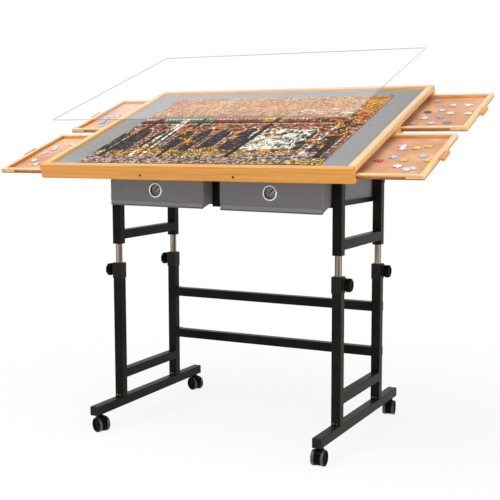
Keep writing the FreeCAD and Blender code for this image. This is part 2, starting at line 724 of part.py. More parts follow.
quadrants = []
slot_start = low_angle - 0.15
slot_stop = low_angle + get("steepest") + 0.15
for side in SIDES.values():
    near = f"({OUTER_X} + 1)"
    plate = cut(
        sector(side, f"{reach_formula} + quadrant_half", -1.5, slot_stop + 2.4, near, "plate"),
        [sector(side, f"{reach_formula} - quadrant_half", -2.5, slot_stop + 3.4, f"{near} - 1", "plate + 2")],
    )
    s_mid = f"pivot_s + {reach_formula}"
    spacer_s = (f"{s_mid} - 10", f"{s_mid} + 10")
    spacer_n = (f"{BAR_LOW} + 1", "-top_height - 3")
    spacer = side_span(side, "(leg_x + tilt_bar_width/2)", f"{near} + 1", spacer_s, spacer_n)
    slot_half = "tilt_stud_radius + 0.25"
    slot_outer = (f"{reach_formula} + {slot_half}", slot_start, slot_stop)
    slot_inner = (f"{reach_formula} - ({slot_half})", slot_start - 1, slot_stop + 1)
    slot = [
        cut(
            sector(side, *slot_outer, f"{near} - 1", "plate + 2"),
            [sector(side, *slot_inner, f"{near} - 2", "plate + 4")],
        ),
    ]
    for angle in (slot_start, slot_stop):
        s, n = arc_point(angle)
        slot.append(side_rod(side, slot_half, f"{near} - 1", f"{near} + plate + 1", s, n))
    quadrants.append(cut(fuse([plate, spacer]), slot))
on_top(group(quadrants), "tilt_quadrants")

screws = []
for x, s in screw_spots:
    head = rod("4", "2.2", (x, s, f"{BAR_LOW} - 2.2"))
    shank = rod("2", "30", (x, s, f"{BAR_LOW} - 1"))
    screws.append(fuse([head, shank]))
for x, n in front_screws:
    screws.append(rod(f"screw_sink - {GAP}", "5", (x, "3", n), "Y"))
on_top(group(screws), "board_screws")

# ---------------------------------------------------------------- drawers
for row_name, (s_low, s_high) in ROWS.items():
    for side_name, side in SIDES.items():
        opened = f"open_{side_name}_{row_name}"
        end_x = f"({HALF} + {opened})"
        start_x = f"({end_x} - drawer_length)"
        s_mid = f"(({s_low}) + ({s_high}))/2"
        s_run = (f"{s_mid} - drawer_width/2", f"{s_mid} + drawer_width/2")
        floor = f"({UNDER} + drawer_lift)"
        tray = side_span(side, start_x, end_x, s_run, (floor, f"{floor} + drawer_height"))
        tray = rounded(tray, 1.0, level(f"{floor} + drawer_height"))
        inside_s = (f"{s_run[0]} + drawer_rim", f"{s_run[1]} - drawer_rim")
        inside_n = (f"{floor} + drawer_floor", f"{floor} + drawer_height + 1")
        inside = side_span(side, f"{start_x} + drawer_rim", f"{end_x} - drawer_rim", inside_s, inside_n)
        groove_n = (f"{GROOVE_MID} - groove_height/2", f"{GROOVE_MID} + groove_height/2")
        groove_sides = (
            (f"{s_run[0]} - 1", f"{s_run[0]} + groove_depth"),
            (f"{s_run[1]} - groove_depth", f"{s_run[1]} + 1"),
        )
        grooves = [
            side_span(side, f"{start_x} - 1", f"{end_x} - groove_stop", groove_s, groove_n)
            for groove_s in groove_sides
        ]
        on_top(cut(tray, [inside] + grooves), f"drawer_{row_name}_{side_name}")

        handle_n = f"({floor} + drawer_height/2)"
        half_run = "handle_length/2"
        neck_s = (f"{s_mid} - {half_run} + 1", f"{s_mid} + {half_run} - 1")
        neck_n = (f"{handle_n} - 3", f"{handle_n} + 3")
        neck = side_span(side, end_x, f"{end_x} + 6", neck_s, neck_n)
        bar_s = (f"{s_mid} - {half_run}", f"{s_mid} + {half_run}")
        bar_n = (f"{handle_n} - drawer_height/2", f"{handle_n} + drawer_height/2")
        bar = side_span(side, f"{end_x} + 5", f"{end_x} + 12.5", bar_s, bar_n)
        bar = rounded(bar, 2.0, lambda e: abs(e.Length - get("handle_length")) < 1e-6)
        on_top(fuse([neck, bar]), f"drawer_handle_{row_name}_{side_name}")

# ---------------------------------------------------------------- puzzle and cover
on_top(block(("puzzle_width", "puzzle_depth", "card"), ("0", "puzzle_s", "-felt_drop + card/2")), "puzzle")

sheet_centre = ("0", f"{MIDDLE} + cover_back", "-felt_drop + card + pane/2 + cover_lift")
pane = block(("cover_width", "cover_depth", "pane"), sheet_centre)
on_top(rounded(pane, "cover_corner", along("Z")), "cover")

# ---------------------------------------------------------------- casters
def swivelled(obj, turn, x, y, label):
    """Keep a piece of a caster, turned about the caster's stem."""
    obj.Placement = Placement(Vector(), Rotation(Vector(0, 0, 1), get(turn)))
    bind(obj, ".Placement.Base.x", f"({x})*(1 - cos({turn}*1deg)) + ({y})*sin({turn}*1deg)")
    bind(obj, ".Placement.Base.y", f"({y})*(1 - cos({turn}*1deg)) - ({x})*sin({turn}*1deg)")
    bind(obj, ".Placement.Rotation.Angle", turn)
    return node(obj, label)


# each caster is drawn trailing straight forward, then swivelled to where it stands
for end_name, end in ENDS.items():
    for side_name, side in SIDES.items():
        x = f"{side}*leg_x"
        pivot_y = f"{end}*caster_y"
        swivel = (f"swivel_{end_name}_{side_name}", x, pivot_y)
        axle_y = f"({pivot_y} - trail)"
        disc_half = "wheel_gap/2 - 0.6"
        hood_from = (f"{x} - ({disc_half})", axle_y, "wheel_radius")
        hood = rod("wheel_radius - 3.9", f"2*({disc_half})", hood_from, "X", "hood")
        neck = rod("8", "5.6", (x, pivot_y, "foot_bottom - 6"))
        neck_web = block((f"2*({disc_half})", "20", "20"), (x, f"{pivot_y} - 1", "foot_bottom - 15.2"))
        flange = rod("9.5", "2.5", (x, pivot_y, "foot_bottom - 2.9"))
        stem = rod("stem_radius", "15", (x, pivot_y, "foot_bottom - 3"))
        axle = rod("axle_radius", "wheel_gap + 2*wheel_width - 2",
                   (f"{x} - wheel_gap/2 - wheel_width + 1", axle_y, "wheel_radius"), "X")
        fork = fuse([hood, neck, neck_web, flange, stem, axle])
        swivelled(fork, *swivel, f"caster_fork_{end_name}_{side_name}")
        wheels = []
        for offset in (-1, 1):
            face = "wheel_gap/2" if offset > 0 else "-wheel_gap/2 - wheel_width"
            disc = rod("wheel_radius", "wheel_width", (f"{x} + {face}", axle_y, "wheel_radius"), "X")
            disc = rounded(disc, 3.0, circles(get("wheel_radius")))
            dish = "wheel_gap/2 + wheel_width - 2.5" if offset > 0 else "-wheel_gap/2 - wheel_width - 1"
            hub_dish = rod("wheel_radius - 7.4", "3.5", (f"{x} + {dish}", axle_y, "wheel_radius"), "X")
            bore_from = f"{x} + {face} - 1"
            bore = rod(f"axle_radius + {GAP}", "wheel_width + 2", (bore_from, axle_y, "wheel_radius"), "X")
            wheels.append(cut(disc, [hub_dish, bore]))
        swivelled(group(wheels), *swivel, f"caster_wheels_{end_name}_{side_name}")

# ---------------------------------------------------------------- check and write
doc.recompute()
folder = "parts"
os.makedirs(folder, exist_ok=True)
broken = [obj for obj in doc.Objects if {"Invalid", "Error"} & set(obj.State)]
for obj in broken:
    print("did not build:", obj.Name, obj.Label, [other.Label for other in obj.InList])
if broken:
    raise RuntimeError(f"{len(broken)} objects did not build")
labels = [obj.Label for obj in nodes]
if len(set(labels)) != len(labels) or len(labels) > 60:
    raise RuntimeError(f"{len(labels)} nodes, {len(set(labels))} names")
for obj in nodes:
    shape = obj.Shape
    if shape.isNull() or not shape.isValid() or not shape.Solids:
        raise RuntimeError(f"{obj.Label} has a bad shape")
    shape.exportStep(os.path.join(folder, f"{obj.Label}.step"))
    bounds = shape.BoundBox
    print(f"{obj.Label:28s} solids {len(shape.Solids):2d} volume {shape.Volume:12.0f} "
          f"x {bounds.XMin:8.1f} {bounds.XMax:8.1f} y {bounds.YMin:8.1f} {bounds.YMax:8.1f} "
          f"z {bounds.ZMin:8.1f} {bounds.ZMax:8.1f}")
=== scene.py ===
"""Jigsaw puzzle table: boards, soft bins, casters, knobs, picture and finishes dressed over its frame."""

import json
import logging
import math
import random
from collections.abc import Callable, Iterator, Sequence
from contextlib import contextmanager
from dataclasses import dataclass, field
from enum import Enum
from typing import NamedTuple

import bmesh
import bpy
from mathutils import Matrix, Vector, noise


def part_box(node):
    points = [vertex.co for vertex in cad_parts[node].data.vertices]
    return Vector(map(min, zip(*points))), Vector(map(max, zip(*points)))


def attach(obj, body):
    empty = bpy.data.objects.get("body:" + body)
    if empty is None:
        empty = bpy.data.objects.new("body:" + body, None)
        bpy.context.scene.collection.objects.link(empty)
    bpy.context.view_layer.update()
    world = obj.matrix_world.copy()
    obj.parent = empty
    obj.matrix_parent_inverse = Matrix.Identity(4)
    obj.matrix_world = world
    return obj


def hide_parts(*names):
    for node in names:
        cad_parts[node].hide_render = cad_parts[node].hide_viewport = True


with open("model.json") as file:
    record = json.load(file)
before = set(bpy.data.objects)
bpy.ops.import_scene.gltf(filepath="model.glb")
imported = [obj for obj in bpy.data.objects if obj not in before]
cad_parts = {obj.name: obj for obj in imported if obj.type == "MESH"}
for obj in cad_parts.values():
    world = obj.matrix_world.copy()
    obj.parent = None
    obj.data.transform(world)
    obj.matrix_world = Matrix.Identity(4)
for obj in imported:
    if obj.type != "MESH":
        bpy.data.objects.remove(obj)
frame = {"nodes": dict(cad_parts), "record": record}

LOG = logging.getLogger("puzzle_table")
Piece = bpy.types.Object
Material = bpy.types.Material
Triple = tuple[float, float, float]
Place = tuple[float, float, float, str]


def paint(code: str) -> Triple:
    """A colour for a shader from its usual hex code.

    Args:
        code: six hex digits after a hash sign.

    Returns:
        Red, green and blue on the linear scale that shaders use.
    """
    parts = [int(code[i:i + 2], 16) / 255 for i in (1, 3, 5)]
    return tuple(p / 12.92 if p <= 0.04045 else ((p + 0.055) / 1.055) ** 2.4 for p in parts)


class Side(Enum):
    """Which side of the table a piece is on, as the sign of its x."""

    LEFT = -1
    RIGHT = 1

    @property
    def word(self) -> str:
        """The side's word in a piece's name."""
        return self.name.lower()

    def span(self, low: float, high: float, inner: float, outer: float) -> tuple[float, float]:
        """A stretch along x, shortened at the end nearer the table's middle and at the other one.

        Args:
            low: where the stretch begins.
            high: where it ends.
            inner: how much is taken off its inner end.
            outer: how much is taken off its outer end.

        Returns:
            Where the shortened stretch begins and ends.
        """
        if self is Side.RIGHT:
            return low + inner, high - outer
        return low + outer, high - inner


class End(Enum):
    """Which end of the table a piece is at, as the sign of its y."""

    FRONT = -1
    REAR = 1

    @property
    def word(self) -> str:
        """The end's word in a piece's name."""
        return self.name.lower()


class Grain(Enum):
    """The direction that a board's fibres run in, on the tabletop's own frame."""

    ACROSS = "x"
    UP = "s"


# ------------------------------------------------------------------ modelling


class Spot(NamedTuple):
    """The middle and the direction of a face, an edge or a vertex."""

    middle: Vector
    direction: Vector


class Bench:
    """Shapes pieces with Blender's modelling operators, as by hand."""

    @staticmethod
    def clear() -> None:
        """Leaves edit mode and selects nothing."""
        if bpy.context.object and bpy.context.object.mode != "OBJECT":
            bpy.ops.object.mode_set(mode="OBJECT")
        bpy.ops.object.select_all(action="DESELECT")

    @classmethod
    def take(cls, piece: Piece) -> Piece:
        """Makes one piece the only one that operators act on.

        Args:
            piece: the piece to take up.

        Returns:
            The same piece.
        """
        cls.clear()
        piece.select_set(True)
        bpy.context.view_layer.objects.active = piece
        return piece

    @classmethod
    def settle(cls, piece: Piece, matrix: Matrix | None = None) -> Piece:
        """Moves a piece and writes its place into its mesh.

        Args:
            piece: the piece to move.
            matrix: where it goes from where it is, or None to stay.

        Returns:
            The same piece, with its object at the origin.
        """
        cls.take(piece)
        if matrix is not None:
            piece.matrix_world = matrix @ piece.matrix_world
        bpy.ops.object.transform_apply(location=True, rotation=True, scale=True)
        return piece

    @classmethod
    def named(cls, name: str) -> Piece:
        """Names the primitive that was just added and settles it.

        Args:
            name: the piece's name.

        Returns:
            The piece.
        """
        piece = bpy.context.object
        piece.name = piece.data.name = name
        return cls.settle(piece)

    @classmethod
    def block(cls, name: str, low: Sequence[float], high: Sequence[float]) -> Piece:
        """A rectangular block between two corners.

        Args:
            name: the piece's name.
            low: its lowest corner.
            high: its highest corner.

        Returns:
            The block.
        """
        cls.clear()
        middle = [(a + b) / 2 for a, b in zip(low, high)]
        bpy.ops.mesh.primitive_cube_add(size=1, location=middle)
        bpy.context.object.scale = [b - a for a, b in zip(low, high)]
        return cls.named(name)

    @classmethod
    def rod(
        cls, name: str, radius: float, start: Sequence[float], end: Sequence[float], sides: int
    ) -> Piece:
        """A round bar between two points.

        Args:
            name: the piece's name.
            radius: its radius.
            start: the middle of one end.
            end: the middle of the other end.
            sides: how many faces go round it.

        Returns:
            The bar.
        """
        cls.clear()
        start, end = Vector(start), Vector(end)
        run = end - start
        bpy.ops.mesh.primitive_cylinder_add(vertices=sides, radius=radius, depth=run.length)
        turn = Vector((0, 0, 1)).rotation_difference(run).to_matrix().to_4x4()
        bpy.context.object.matrix_world = Matrix.Translation((start + end) / 2) @ turn
        return cls.named(name)

    @classmethod
    def sheet(
        cls, name: str, low: Sequence[float], high: Sequence[float], cells: tuple[int, int]
    ) -> Piece:
        """A flat grid at the height of its low corner.

        Args:
            name: the piece's name.
            low: its lowest corner.
            high: its highest corner.
            cells: how many cells it has along x and y.

        Returns:
            The grid.
        """
        cls.clear()
        middle = ((low[0] + high[0]) / 2, (low[1] + high[1]) / 2, low[2])
        bpy.ops.mesh.primitive_grid_add(
            x_subdivisions=cells[0], y_subdivisions=cells[1], size=1, location=middle
        )
        bpy.context.object.scale = (high[0] - low[0], high[1] - low[1], 1)
        return cls.named(name)

    @staticmethod
    def drawn(
        name: str, points: Sequence[Sequence[float]], edges: Sequence[tuple[int, int]] = (),
        faces: Sequence[Sequence[int]] = (),
    ) -> Piece:
        """An outline drawn point by point.

        Args:
            name: the outline's name.
            points: its points.
            edges: the pairs of points that a line joins.
            faces: the rings of points that a face fills.

        Returns:
            The outline.
        """
        mesh = bpy.data.meshes.new(name)
        mesh.from_pydata(points, edges, faces)
        piece = bpy.data.objects.new(name, mesh)
        bpy.context.scene.collection.objects.link(piece)
        return piece

    @classmethod
    def turned(
        cls, name: str, profile: Sequence[tuple[float, float]], centre: Sequence[float],
        axis: Sequence[float], steps: int,
    ) -> Piece:
        """A piece turned on a lathe.

        Args:
            name: the piece's name.
            profile: its outline, as pairs of radius and distance along the axis.
            centre: the point that the distances are measured from.
            axis: the direction of the axis.
            steps: how many faces go round it.

        Returns:
            The piece, with its poles closed.
        """
        cls.clear()
        axis, centre = Vector(axis).normalized(), Vector(centre)
        side = axis.orthogonal().normalized()
        points = [centre + axis * along + side * radius for radius, along in profile]
        piece = cls.drawn(name, points, [(i, i + 1) for i in range(len(points) - 1)])
        with cls.editing(piece, "VERT"):
            bpy.ops.mesh.select_all(action="SELECT")
            bpy.ops.mesh.spin(steps=steps, angle=math.tau, center=centre, axis=axis)
            bpy.ops.mesh.select_all(action="SELECT")
            bpy.ops.mesh.remove_doubles(threshold=1e-6)
            bpy.ops.mesh.normals_make_consistent(inside=False)
        return piece

    @classmethod
    @contextmanager
    def editing(cls, piece: Piece, kind: str = "FACE") -> Iterator[None]:
        """Edit mode on one piece, with nothing selected to begin with.

        Args:
            piece: the piece to edit.
            kind: VERT, EDGE or FACE.

        Yields:
            Nothing; the piece is back in object mode afterwards.
        """
        cls.take(piece)
        bpy.ops.object.mode_set(mode="EDIT")
        bpy.ops.mesh.select_mode(type=kind)
        bpy.ops.mesh.select_all(action="DESELECT")
        yield
        bpy.ops.object.mode_set(mode="OBJECT")

    @staticmethod
    def pick(piece: Piece, kind: str, test: Callable[[Spot], bool]) -> None:
        """Selects, in edit mode, what passes a test.

        Args:
            piece: the piece being edited.
            kind: VERT, EDGE or FACE.
            test: says yes or no to a spot.
        """
        bpy.ops.mesh.select_mode(type=kind)
        bpy.ops.mesh.select_all(action="DESELECT")
        mesh = bmesh.from_edit_mesh(piece.data)
        mesh.normal_update()
        if kind == "FACE":
            spots = [(face, Spot(face.calc_center_median(), face.normal)) for face in mesh.faces]
        elif kind == "EDGE":
            ends = [(edge, edge.verts[0].co, edge.verts[1].co) for edge in mesh.edges]
            spots = [(edge, Spot((a + b) / 2, (b - a).normalized())) for edge, a, b in ends]
        else:
            spots = [(vertex, Spot(vertex.co, vertex.normal)) for vertex in mesh.verts]
        for part, spot in spots:
            if test(spot):
                part.select_set(True)
        bmesh.update_edit_mesh(piece.data)

    @classmethod
    def modify(cls, piece: Piece, kind: str, **settings: object) -> Piece:
        """Adds one modifier and applies it.

        Args:
            piece: the piece to modify.
            kind: the modifier's type.
            settings: the modifier's own settings.

        Returns:
            The same piece.
        """
        cls.take(piece)
        added = piece.modifiers.new(kind.lower(), kind)
        for key, value in settings.items():
            setattr(added, key, value)
        bpy.ops.object.modifier_apply(modifier=added.name)
        return piece

    @classmethod
    def ease(cls, piece: Piece, width: float, segments: int = 2, angle: float = 40) -> Piece:
        """Rounds the sharp edges of a piece.

        Args:
            piece: the piece to round.
            width: how far the rounding reaches.
            segments: how many faces make it.
            angle: the least angle of an edge that is rounded, in degrees.

        Returns:
            The same piece.
        """
        return cls.modify(
            piece, "BEVEL", width=width, segments=segments, limit_method="ANGLE",
            angle_limit=math.radians(angle), use_clamp_overlap=True,
        )

    @classmethod
    def carve(cls, piece: Piece, *cutters: Piece) -> Piece:
        """Takes cutters away from a piece and removes them.

        Args:
            piece: the piece to cut.
            cutters: the pieces whose space is cut out.

        Returns:
            The same piece.
        """
        for cutter in cutters:
            cls.modify(piece, "BOOLEAN", operation="DIFFERENCE", solver="EXACT", object=cutter)
            bpy.data.objects.remove(cutter, do_unlink=True)
        return piece

    @classmethod
    def join(cls, name: str, *parts: Piece) -> Piece:
        """Makes one piece of several.

        Args:
            name: the new piece's name.
            parts: the pieces to join.

        Returns:
            The joined piece.
        """
        cls.take(parts[0])
        for part in parts[1:]:
            part.select_set(True)
        bpy.ops.object.join()
        parts[0].name = parts[0].data.name = name
        return parts[0]

    @classmethod
    def twin(cls, piece: Piece, name: str, matrix: Matrix) -> Piece:
        """A copy of a finished piece, with its own mesh, in another place.

        Args:
            piece: the piece to copy.
            name: the copy's name.
            matrix: where the copy goes from where the piece is.

        Returns:
            The copy.
        """
        cls.take(piece)
        bpy.ops.object.duplicate(linked=False)
        copy = bpy.context.object
        copy.name = copy.data.name = name
        cls.settle(copy, matrix)
        if matrix.determinant() < 0:
            with cls.editing(copy):
                bpy.ops.mesh.select_all(action="SELECT")
                bpy.ops.mesh.normals_make_consistent(inside=False)
        return copy

    @classmethod
    def close(cls, piece: Piece, angle: float = 35) -> Piece:
        """Merges doubles, turns faces outwards and shades the round parts smooth.

        Args:
            piece: the piece to finish.
            angle: edges sharper than this stay crisp, in degrees.

        Returns:
            The same piece.
        """
        with cls.editing(piece, "VERT"):
            bpy.ops.mesh.select_all(action="SELECT")
            bpy.ops.mesh.remove_doubles(threshold=1e-6)
            bpy.ops.mesh.normals_make_consistent(inside=False)
        cls.take(piece)
        bpy.ops.object.shade_smooth_by_angle(angle=math.radians(angle))
        return piece


class Flat:
    """The tabletop's own frame: x to the right, s up its slope from the front edge, n out of its face."""

    SLOPE = math.radians(18.75)
    FRAME = Matrix.Translation((0, -0.3497612, 0.7262265)) @ Matrix.Rotation(SLOPE, 4, "X")

    @classmethod
    def box(cls, node: str) -> tuple[Vector, Vector]:
        """The corners of a node of the frame in the tabletop's own frame.

        Args:
            node: the node's name.

        Returns:
            Its lowest and its highest corner, as x, s and n.
        """
        back = cls.FRAME.inverted()
        points = [back @ v.co for v in frame["nodes"][node].data.vertices]
        low = Vector(min(p[i] for p in points) for i in range(3))
        high = Vector(max(p[i] for p in points) for i in range(3))
        return low, high

    @classmethod
    def lay(cls, piece: Piece) -> Piece:
        """Puts a piece that was made flat on the sloping tabletop."""
        return Bench.settle(piece, cls.FRAME)


# ------------------------------------------------------------------- finishes


class Signal:
    """The socket of a material's node, which takes part in sums."""

    def __init__(self, recipe: "Recipe", socket: bpy.types.NodeSocket) -> None:
        """Wraps one output socket of one recipe."""
        self.recipe = recipe
        self.socket = socket

    def __add__(self, other: "Signal | float") -> "Signal":
        """This plus another."""
        return self.recipe.maths("ADD", self, other)

    def __radd__(self, other: "Signal | float") -> "Signal":
        """Another plus this."""
        return self.recipe.maths("ADD", other, self)

    def __sub__(self, other: "Signal | float") -> "Signal":
        """This less another."""
        return self.recipe.maths("SUBTRACT", self, other)

    def __rsub__(self, other: "Signal | float") -> "Signal":
        """Another less this."""
        return self.recipe.maths("SUBTRACT", other, self)

    def __mul__(self, other: "Signal | float") -> "Signal":
        """This times another."""
        return self.recipe.maths("MULTIPLY", self, other)

    def __rmul__(self, other: "Signal | float") -> "Signal":
        """Another times this."""
        return self.recipe.maths("MULTIPLY", other, self)

    def __truediv__(self, other: "Signal | float") -> "Signal":
        """This divided by another."""
        return self.recipe.maths("DIVIDE", self, other)

    def __pow__(self, other: "Signal | float") -> "Signal":
        """This to the power of another."""
        return self.recipe.maths("POWER", self, other)

    def __gt__(self, other: "Signal | float") -> "Signal":
        """1 where this is more than another, else 0."""
        return self.recipe.maths("GREATER_THAN", self, other)

    def __lt__(self, other: "Signal | float") -> "Signal":
        """1 where this is less than another, else 0."""
        return self.recipe.maths("LESS_THAN", self, other)


class Recipe:
    """Builds the nodes of one material, or of the world."""

    def __init__(self, name: str, world: bool = False) -> None:
        """Starts an empty material or world.

        Args:
            name: its name.
            world: True for a world.
        """
        self.made = (bpy.data.worlds if world else bpy.data.materials).new(name)
        self.made.use_nodes = True
        self.tree = self.made.node_tree
        self.tree.nodes.clear()
        self.output = "ShaderNodeOutputWorld" if world else "ShaderNodeOutputMaterial"

    def node(
        self, kind: str, settings: dict[str, object] | None = None,
        inputs: dict[str | int, object] | None = None, output: str | int = 0,
    ) -> Signal:
        """Adds a node.

        Args:
            kind: the node's type.
            settings: its own settings, which are set first; "stops" fills a ramp.
            inputs: the values or signals of its sockets.
            output: the socket that is wanted.

        Returns:
            The wanted output.
        """
        made = self.tree.nodes.new(kind)
        for key, value in (settings or {}).items():
            if key == "stops":
                self.stops(made.color_ramp, value)
            else:
                setattr(made, key, value)
        for key, value in (inputs or {}).items():
            self.feed(made.inputs[key], value)
        return Signal(self, made.outputs[output])

    def feed(self, socket: bpy.types.NodeSocket, value: object) -> None:
        """Links or sets one input socket.

        Args:
            socket: the input socket.
            value: a signal to link, a colour's code, or a plain value.
        """
        if isinstance(value, Signal):
            self.tree.links.new(value.socket, socket)
        elif isinstance(value, str):
            socket.default_value = (*paint(value), 1.0)
        elif socket.type == "RGBA":
            socket.default_value = (*value[:3], 1.0)
        else:
            socket.default_value = value

    @staticmethod
    def stops(ramp: bpy.types.ColorRamp, stops: Sequence[tuple[float, str]]) -> None:
        """Fills a ramp.

        Args:
            ramp: the ramp.
            stops: places and colours, lowest first.
        """
        while len(ramp.elements) < len(stops):
            ramp.elements.new(1.0)
        for element, (place, colour) in zip(ramp.elements, stops):
            element.position = place
            element.color = (*paint(colour), 1.0)

    def maths(self, operation: str, first: Signal | float, second: Signal | float = 0.0) -> Signal:
        """One Math node on two values."""
        return self.node("ShaderNodeMath", {"operation": operation}, {0: first, 1: second})

    def clamp(self, value: Signal) -> Signal:
        """A value kept from 0 to 1."""
        return self.node("ShaderNodeClamp", {}, {"Value": value})

    def fit(
        self, value: Signal, low: float, high: float, start: float = 0.0, end: float = 1.0
    ) -> Signal:
        """A smooth step from start to end while a value goes from low to high.

        Args:
            value: the value to read.
            low: where the step begins.
            high: where it ends.
            start: the result before it.
            end: the result after it.

        Returns:
            The stepped value.
        """
        return self.node(
            "ShaderNodeMapRange", {"interpolation_type": "SMOOTHSTEP"},
            {"Value": value, "From Min": low, "From Max": high, "To Min": start, "To Max": end},
        )

    def place(
        self, turn: Triple = (0, 0, 0), shift: Triple = (0, 0, 0), stretch: Triple = (1, 1, 1),
        source: str = "Object",
    ) -> Signal:
        """Coordinates for a pattern.

        Args:
            turn: rotation about x, y and z, in radians.
            shift: how far the pattern is moved.
            stretch: how many times finer it is along each axis.
            source: Object for solid patterns, or UV.

        Returns:
            The coordinates.
        """
        start = self.node("ShaderNodeTexCoord", {}, {}, source)
        return self.node(
            "ShaderNodeMapping", {},
            {"Vector": start, "Rotation": turn, "Location": shift, "Scale": stretch},
        )

    def flat(self) -> Signal:
        """Coordinates x, s and n of the sloping tabletop, in metres."""
        back = Flat.FRAME.inverted().translation
        return self.place(turn=(-Flat.SLOPE, 0, 0), shift=tuple(back))

    def remap(self, vector: Signal, stretch: Triple) -> Signal:
        """Coordinates stretched again."""
        return self.node("ShaderNodeMapping", {}, {"Vector": vector, "Scale": stretch})

    def split(self, vector: Signal) -> tuple[Signal, Signal, Signal]:
        """The three parts of a vector."""
        made = self.node("ShaderNodeSeparateXYZ", {}, {0: vector}).socket.node
        return tuple(Signal(self, made.outputs[i]) for i in range(3))

    def join(self, x: Signal | float, y: Signal | float, z: Signal | float) -> Signal:
        """A vector of three parts."""
        return self.node("ShaderNodeCombineXYZ", {}, {0: x, 1: y, 2: z})

    def noise(
        self, vector: Signal, scale: float, detail: float = 2.0, roughness: float = 0.5,
        distortion: float = 0.0, output: str = "Fac",
    ) -> Signal:
        """Cloudy noise.

        Args:
            vector: the coordinates.
            scale: how many clouds there are to a metre.
            detail: how many finer layers it has.
            roughness: how strong those layers are.
            distortion: how much it swirls.
            output: Fac or Color.

        Returns:
            The noise, about 0.5 in the middle.
        """
        inputs = {
            "Vector": vector, "Scale": scale, "Detail": detail, "Roughness": roughness,
            "Distortion": distortion,
        }
        return self.node("ShaderNodeTexNoise", {}, inputs, output)

    def cells(self, vector: Signal, scale: float) -> tuple[Signal, Signal, Signal]:
        """Three values at random for each cell of a pattern of cells."""
        return self.split(self.node("ShaderNodeTexVoronoi", {}, {"Vector": vector, "Scale": scale}, "Color"))

    def stepped(self, value: Signal, stops: Sequence[tuple[float, str]]) -> Signal:
        """A colour picked from a row of stops, without blending between them.

        Args:
            value: the value that picks.
            stops: where each colour begins, and the colour.

        Returns:
            The colour.
        """
        made = self.node("ShaderNodeValToRGB", {"stops": stops}, {"Fac": value})
        made.socket.node.color_ramp.interpolation = "CONSTANT"
        return made

    def mix(
        self, factor: Signal | float, below: Signal | Triple | str, above: Signal | Triple | str
    ) -> Signal:
        """One colour laid over another.

        Args:
            factor: how much of the upper one shows.
            below: the lower colour.
            above: the upper colour.

        Returns:
            The mixed colour.
        """
        return self.node("ShaderNodeMix", {"data_type": "RGBA"}, {0: factor, 6: below, 7: above}, 2)

    def tint(self, colour: Signal, amount: Signal) -> Signal:
        """A colour made lighter or darker by a factor."""
        return self.node("ShaderNodeVectorMath", {"operation": "SCALE"}, {0: colour, "Scale": amount})

    def bump(self, height: Signal, distance: float, strength: float = 1.0) -> Signal:
        """A normal that follows a height.

        Args:
            height: the height, from 0 to 1.
            distance: how tall 1 is, in metres.
            strength: how strongly it shows.

        Returns:
            The normal.
        """
        return self.node(
            "ShaderNodeBump", {}, {"Height": height, "Distance": distance, "Strength": strength}
        )

    def direct(self) -> Signal:
        """Tells what is seen itself, mirrored or through something clear from what only lights.

        Returns:
            1 for what is seen, 0 for what only lights.
        """
        first = self.node("ShaderNodeLightPath", {}, {}, "Is Camera Ray")
        rays = first.socket.node.outputs
        mirrored, clear = (Signal(self, rays[word]) for word in ("Is Glossy Ray", "Is Transmission Ray"))
        return self.clamp(first + mirrored + clear)

    def shade(self, **sockets: object) -> Material:
        """Ends the recipe with one surface shader.

        Args:
            sockets: its sockets by name, with _ for a space.

        Returns:
            The finished material.
        """
        surface = self.node(
            "ShaderNodeBsdfPrincipled", {}, {k.replace("_", " "): v for k, v in sockets.items()}
        )
        return self.end(surface)

    def end(self, surface: Signal) -> "Material | bpy.types.World":
        """Links a shader to the output.

        Args:
            surface: the shader.

        Returns:
            The finished material or world.
        """
        output = self.tree.nodes.new(self.output)
        self.tree.links.new(surface.socket, output.inputs["Surface"])
        return self.made


@dataclass(frozen=True)
class Finish:
    """A finish that makes its material once."""

    def cook(self) -> Material:
        """The material of this finish."""
        raise NotImplementedError

    def make(self) -> Material:
        """Makes the material the first time that it is asked for.

        Returns:
            The material.
        """
        if self not in _SHELF:
            _SHELF[self] = self.cook()
        return _SHELF[self]


_SHELF: dict[Finish, Material] = {}


@dataclass(frozen=True)
class PowderCoat(Finish):
    """Satin black powder coat on steel tube, with its fine orange peel."""

    tone: str = "#13130f"
    worn: str = "#201f1a"
    gloss: float = 0.36

    def cook(self) -> Material:
        """Black with a slightly uneven sheen.

        Returns:
            The material.
        """
        r = Recipe("satin_black_powder_coat")
        at = r.place()
        cloud = r.noise(at, 9, 3, 0.6)
        peel = r.noise(at, 1500, 2, 0.6)
        base = r.mix(r.fit(cloud, 0.3, 0.7), self.tone, self.worn)
        speck = r.fit(r.noise(at, 3000, 1), 0.64, 0.74)
        base = r.mix(speck * 0.2, base, "#2a2b26")
        rough = self.gloss + (cloud - 0.5) * 0.12 + (peel - 0.5) * 0.1
        return r.shade(
            Base_Color=base, Roughness=rough, Specular_IOR_Level=0.06, Normal=r.bump(peel, 0.00006, 0.7)
        )


@dataclass(frozen=True)
class Plastic(Finish):
    """Moulded plastic with a spark-eroded grain."""

    name: str = "moulded_black_plastic"
    tone: str = "#0c0c0b"
    worn: str = "#191917"
    gloss: float = 0.45
    shine: float = 0.15

    def cook(self) -> Material:
        """A dark plastic with fine grain and handled, shinier patches.

        Returns:
            The material.
        """
        r = Recipe(self.name)
        at = r.place()
        grain = r.noise(at, 2600, 2, 0.7)
        rubbed = r.fit(r.noise(at, 60, 3, 0.6), 0.45, 0.75)
        base = r.mix(rubbed * 0.4, self.tone, self.worn)
        rough = self.gloss - rubbed * 0.14 + (grain - 0.5) * 0.12
        return r.shade(
            Base_Color=base, Roughness=rough, Specular_IOR_Level=self.shine,
            Normal=r.bump(grain, 0.00005, 0.8),
        )


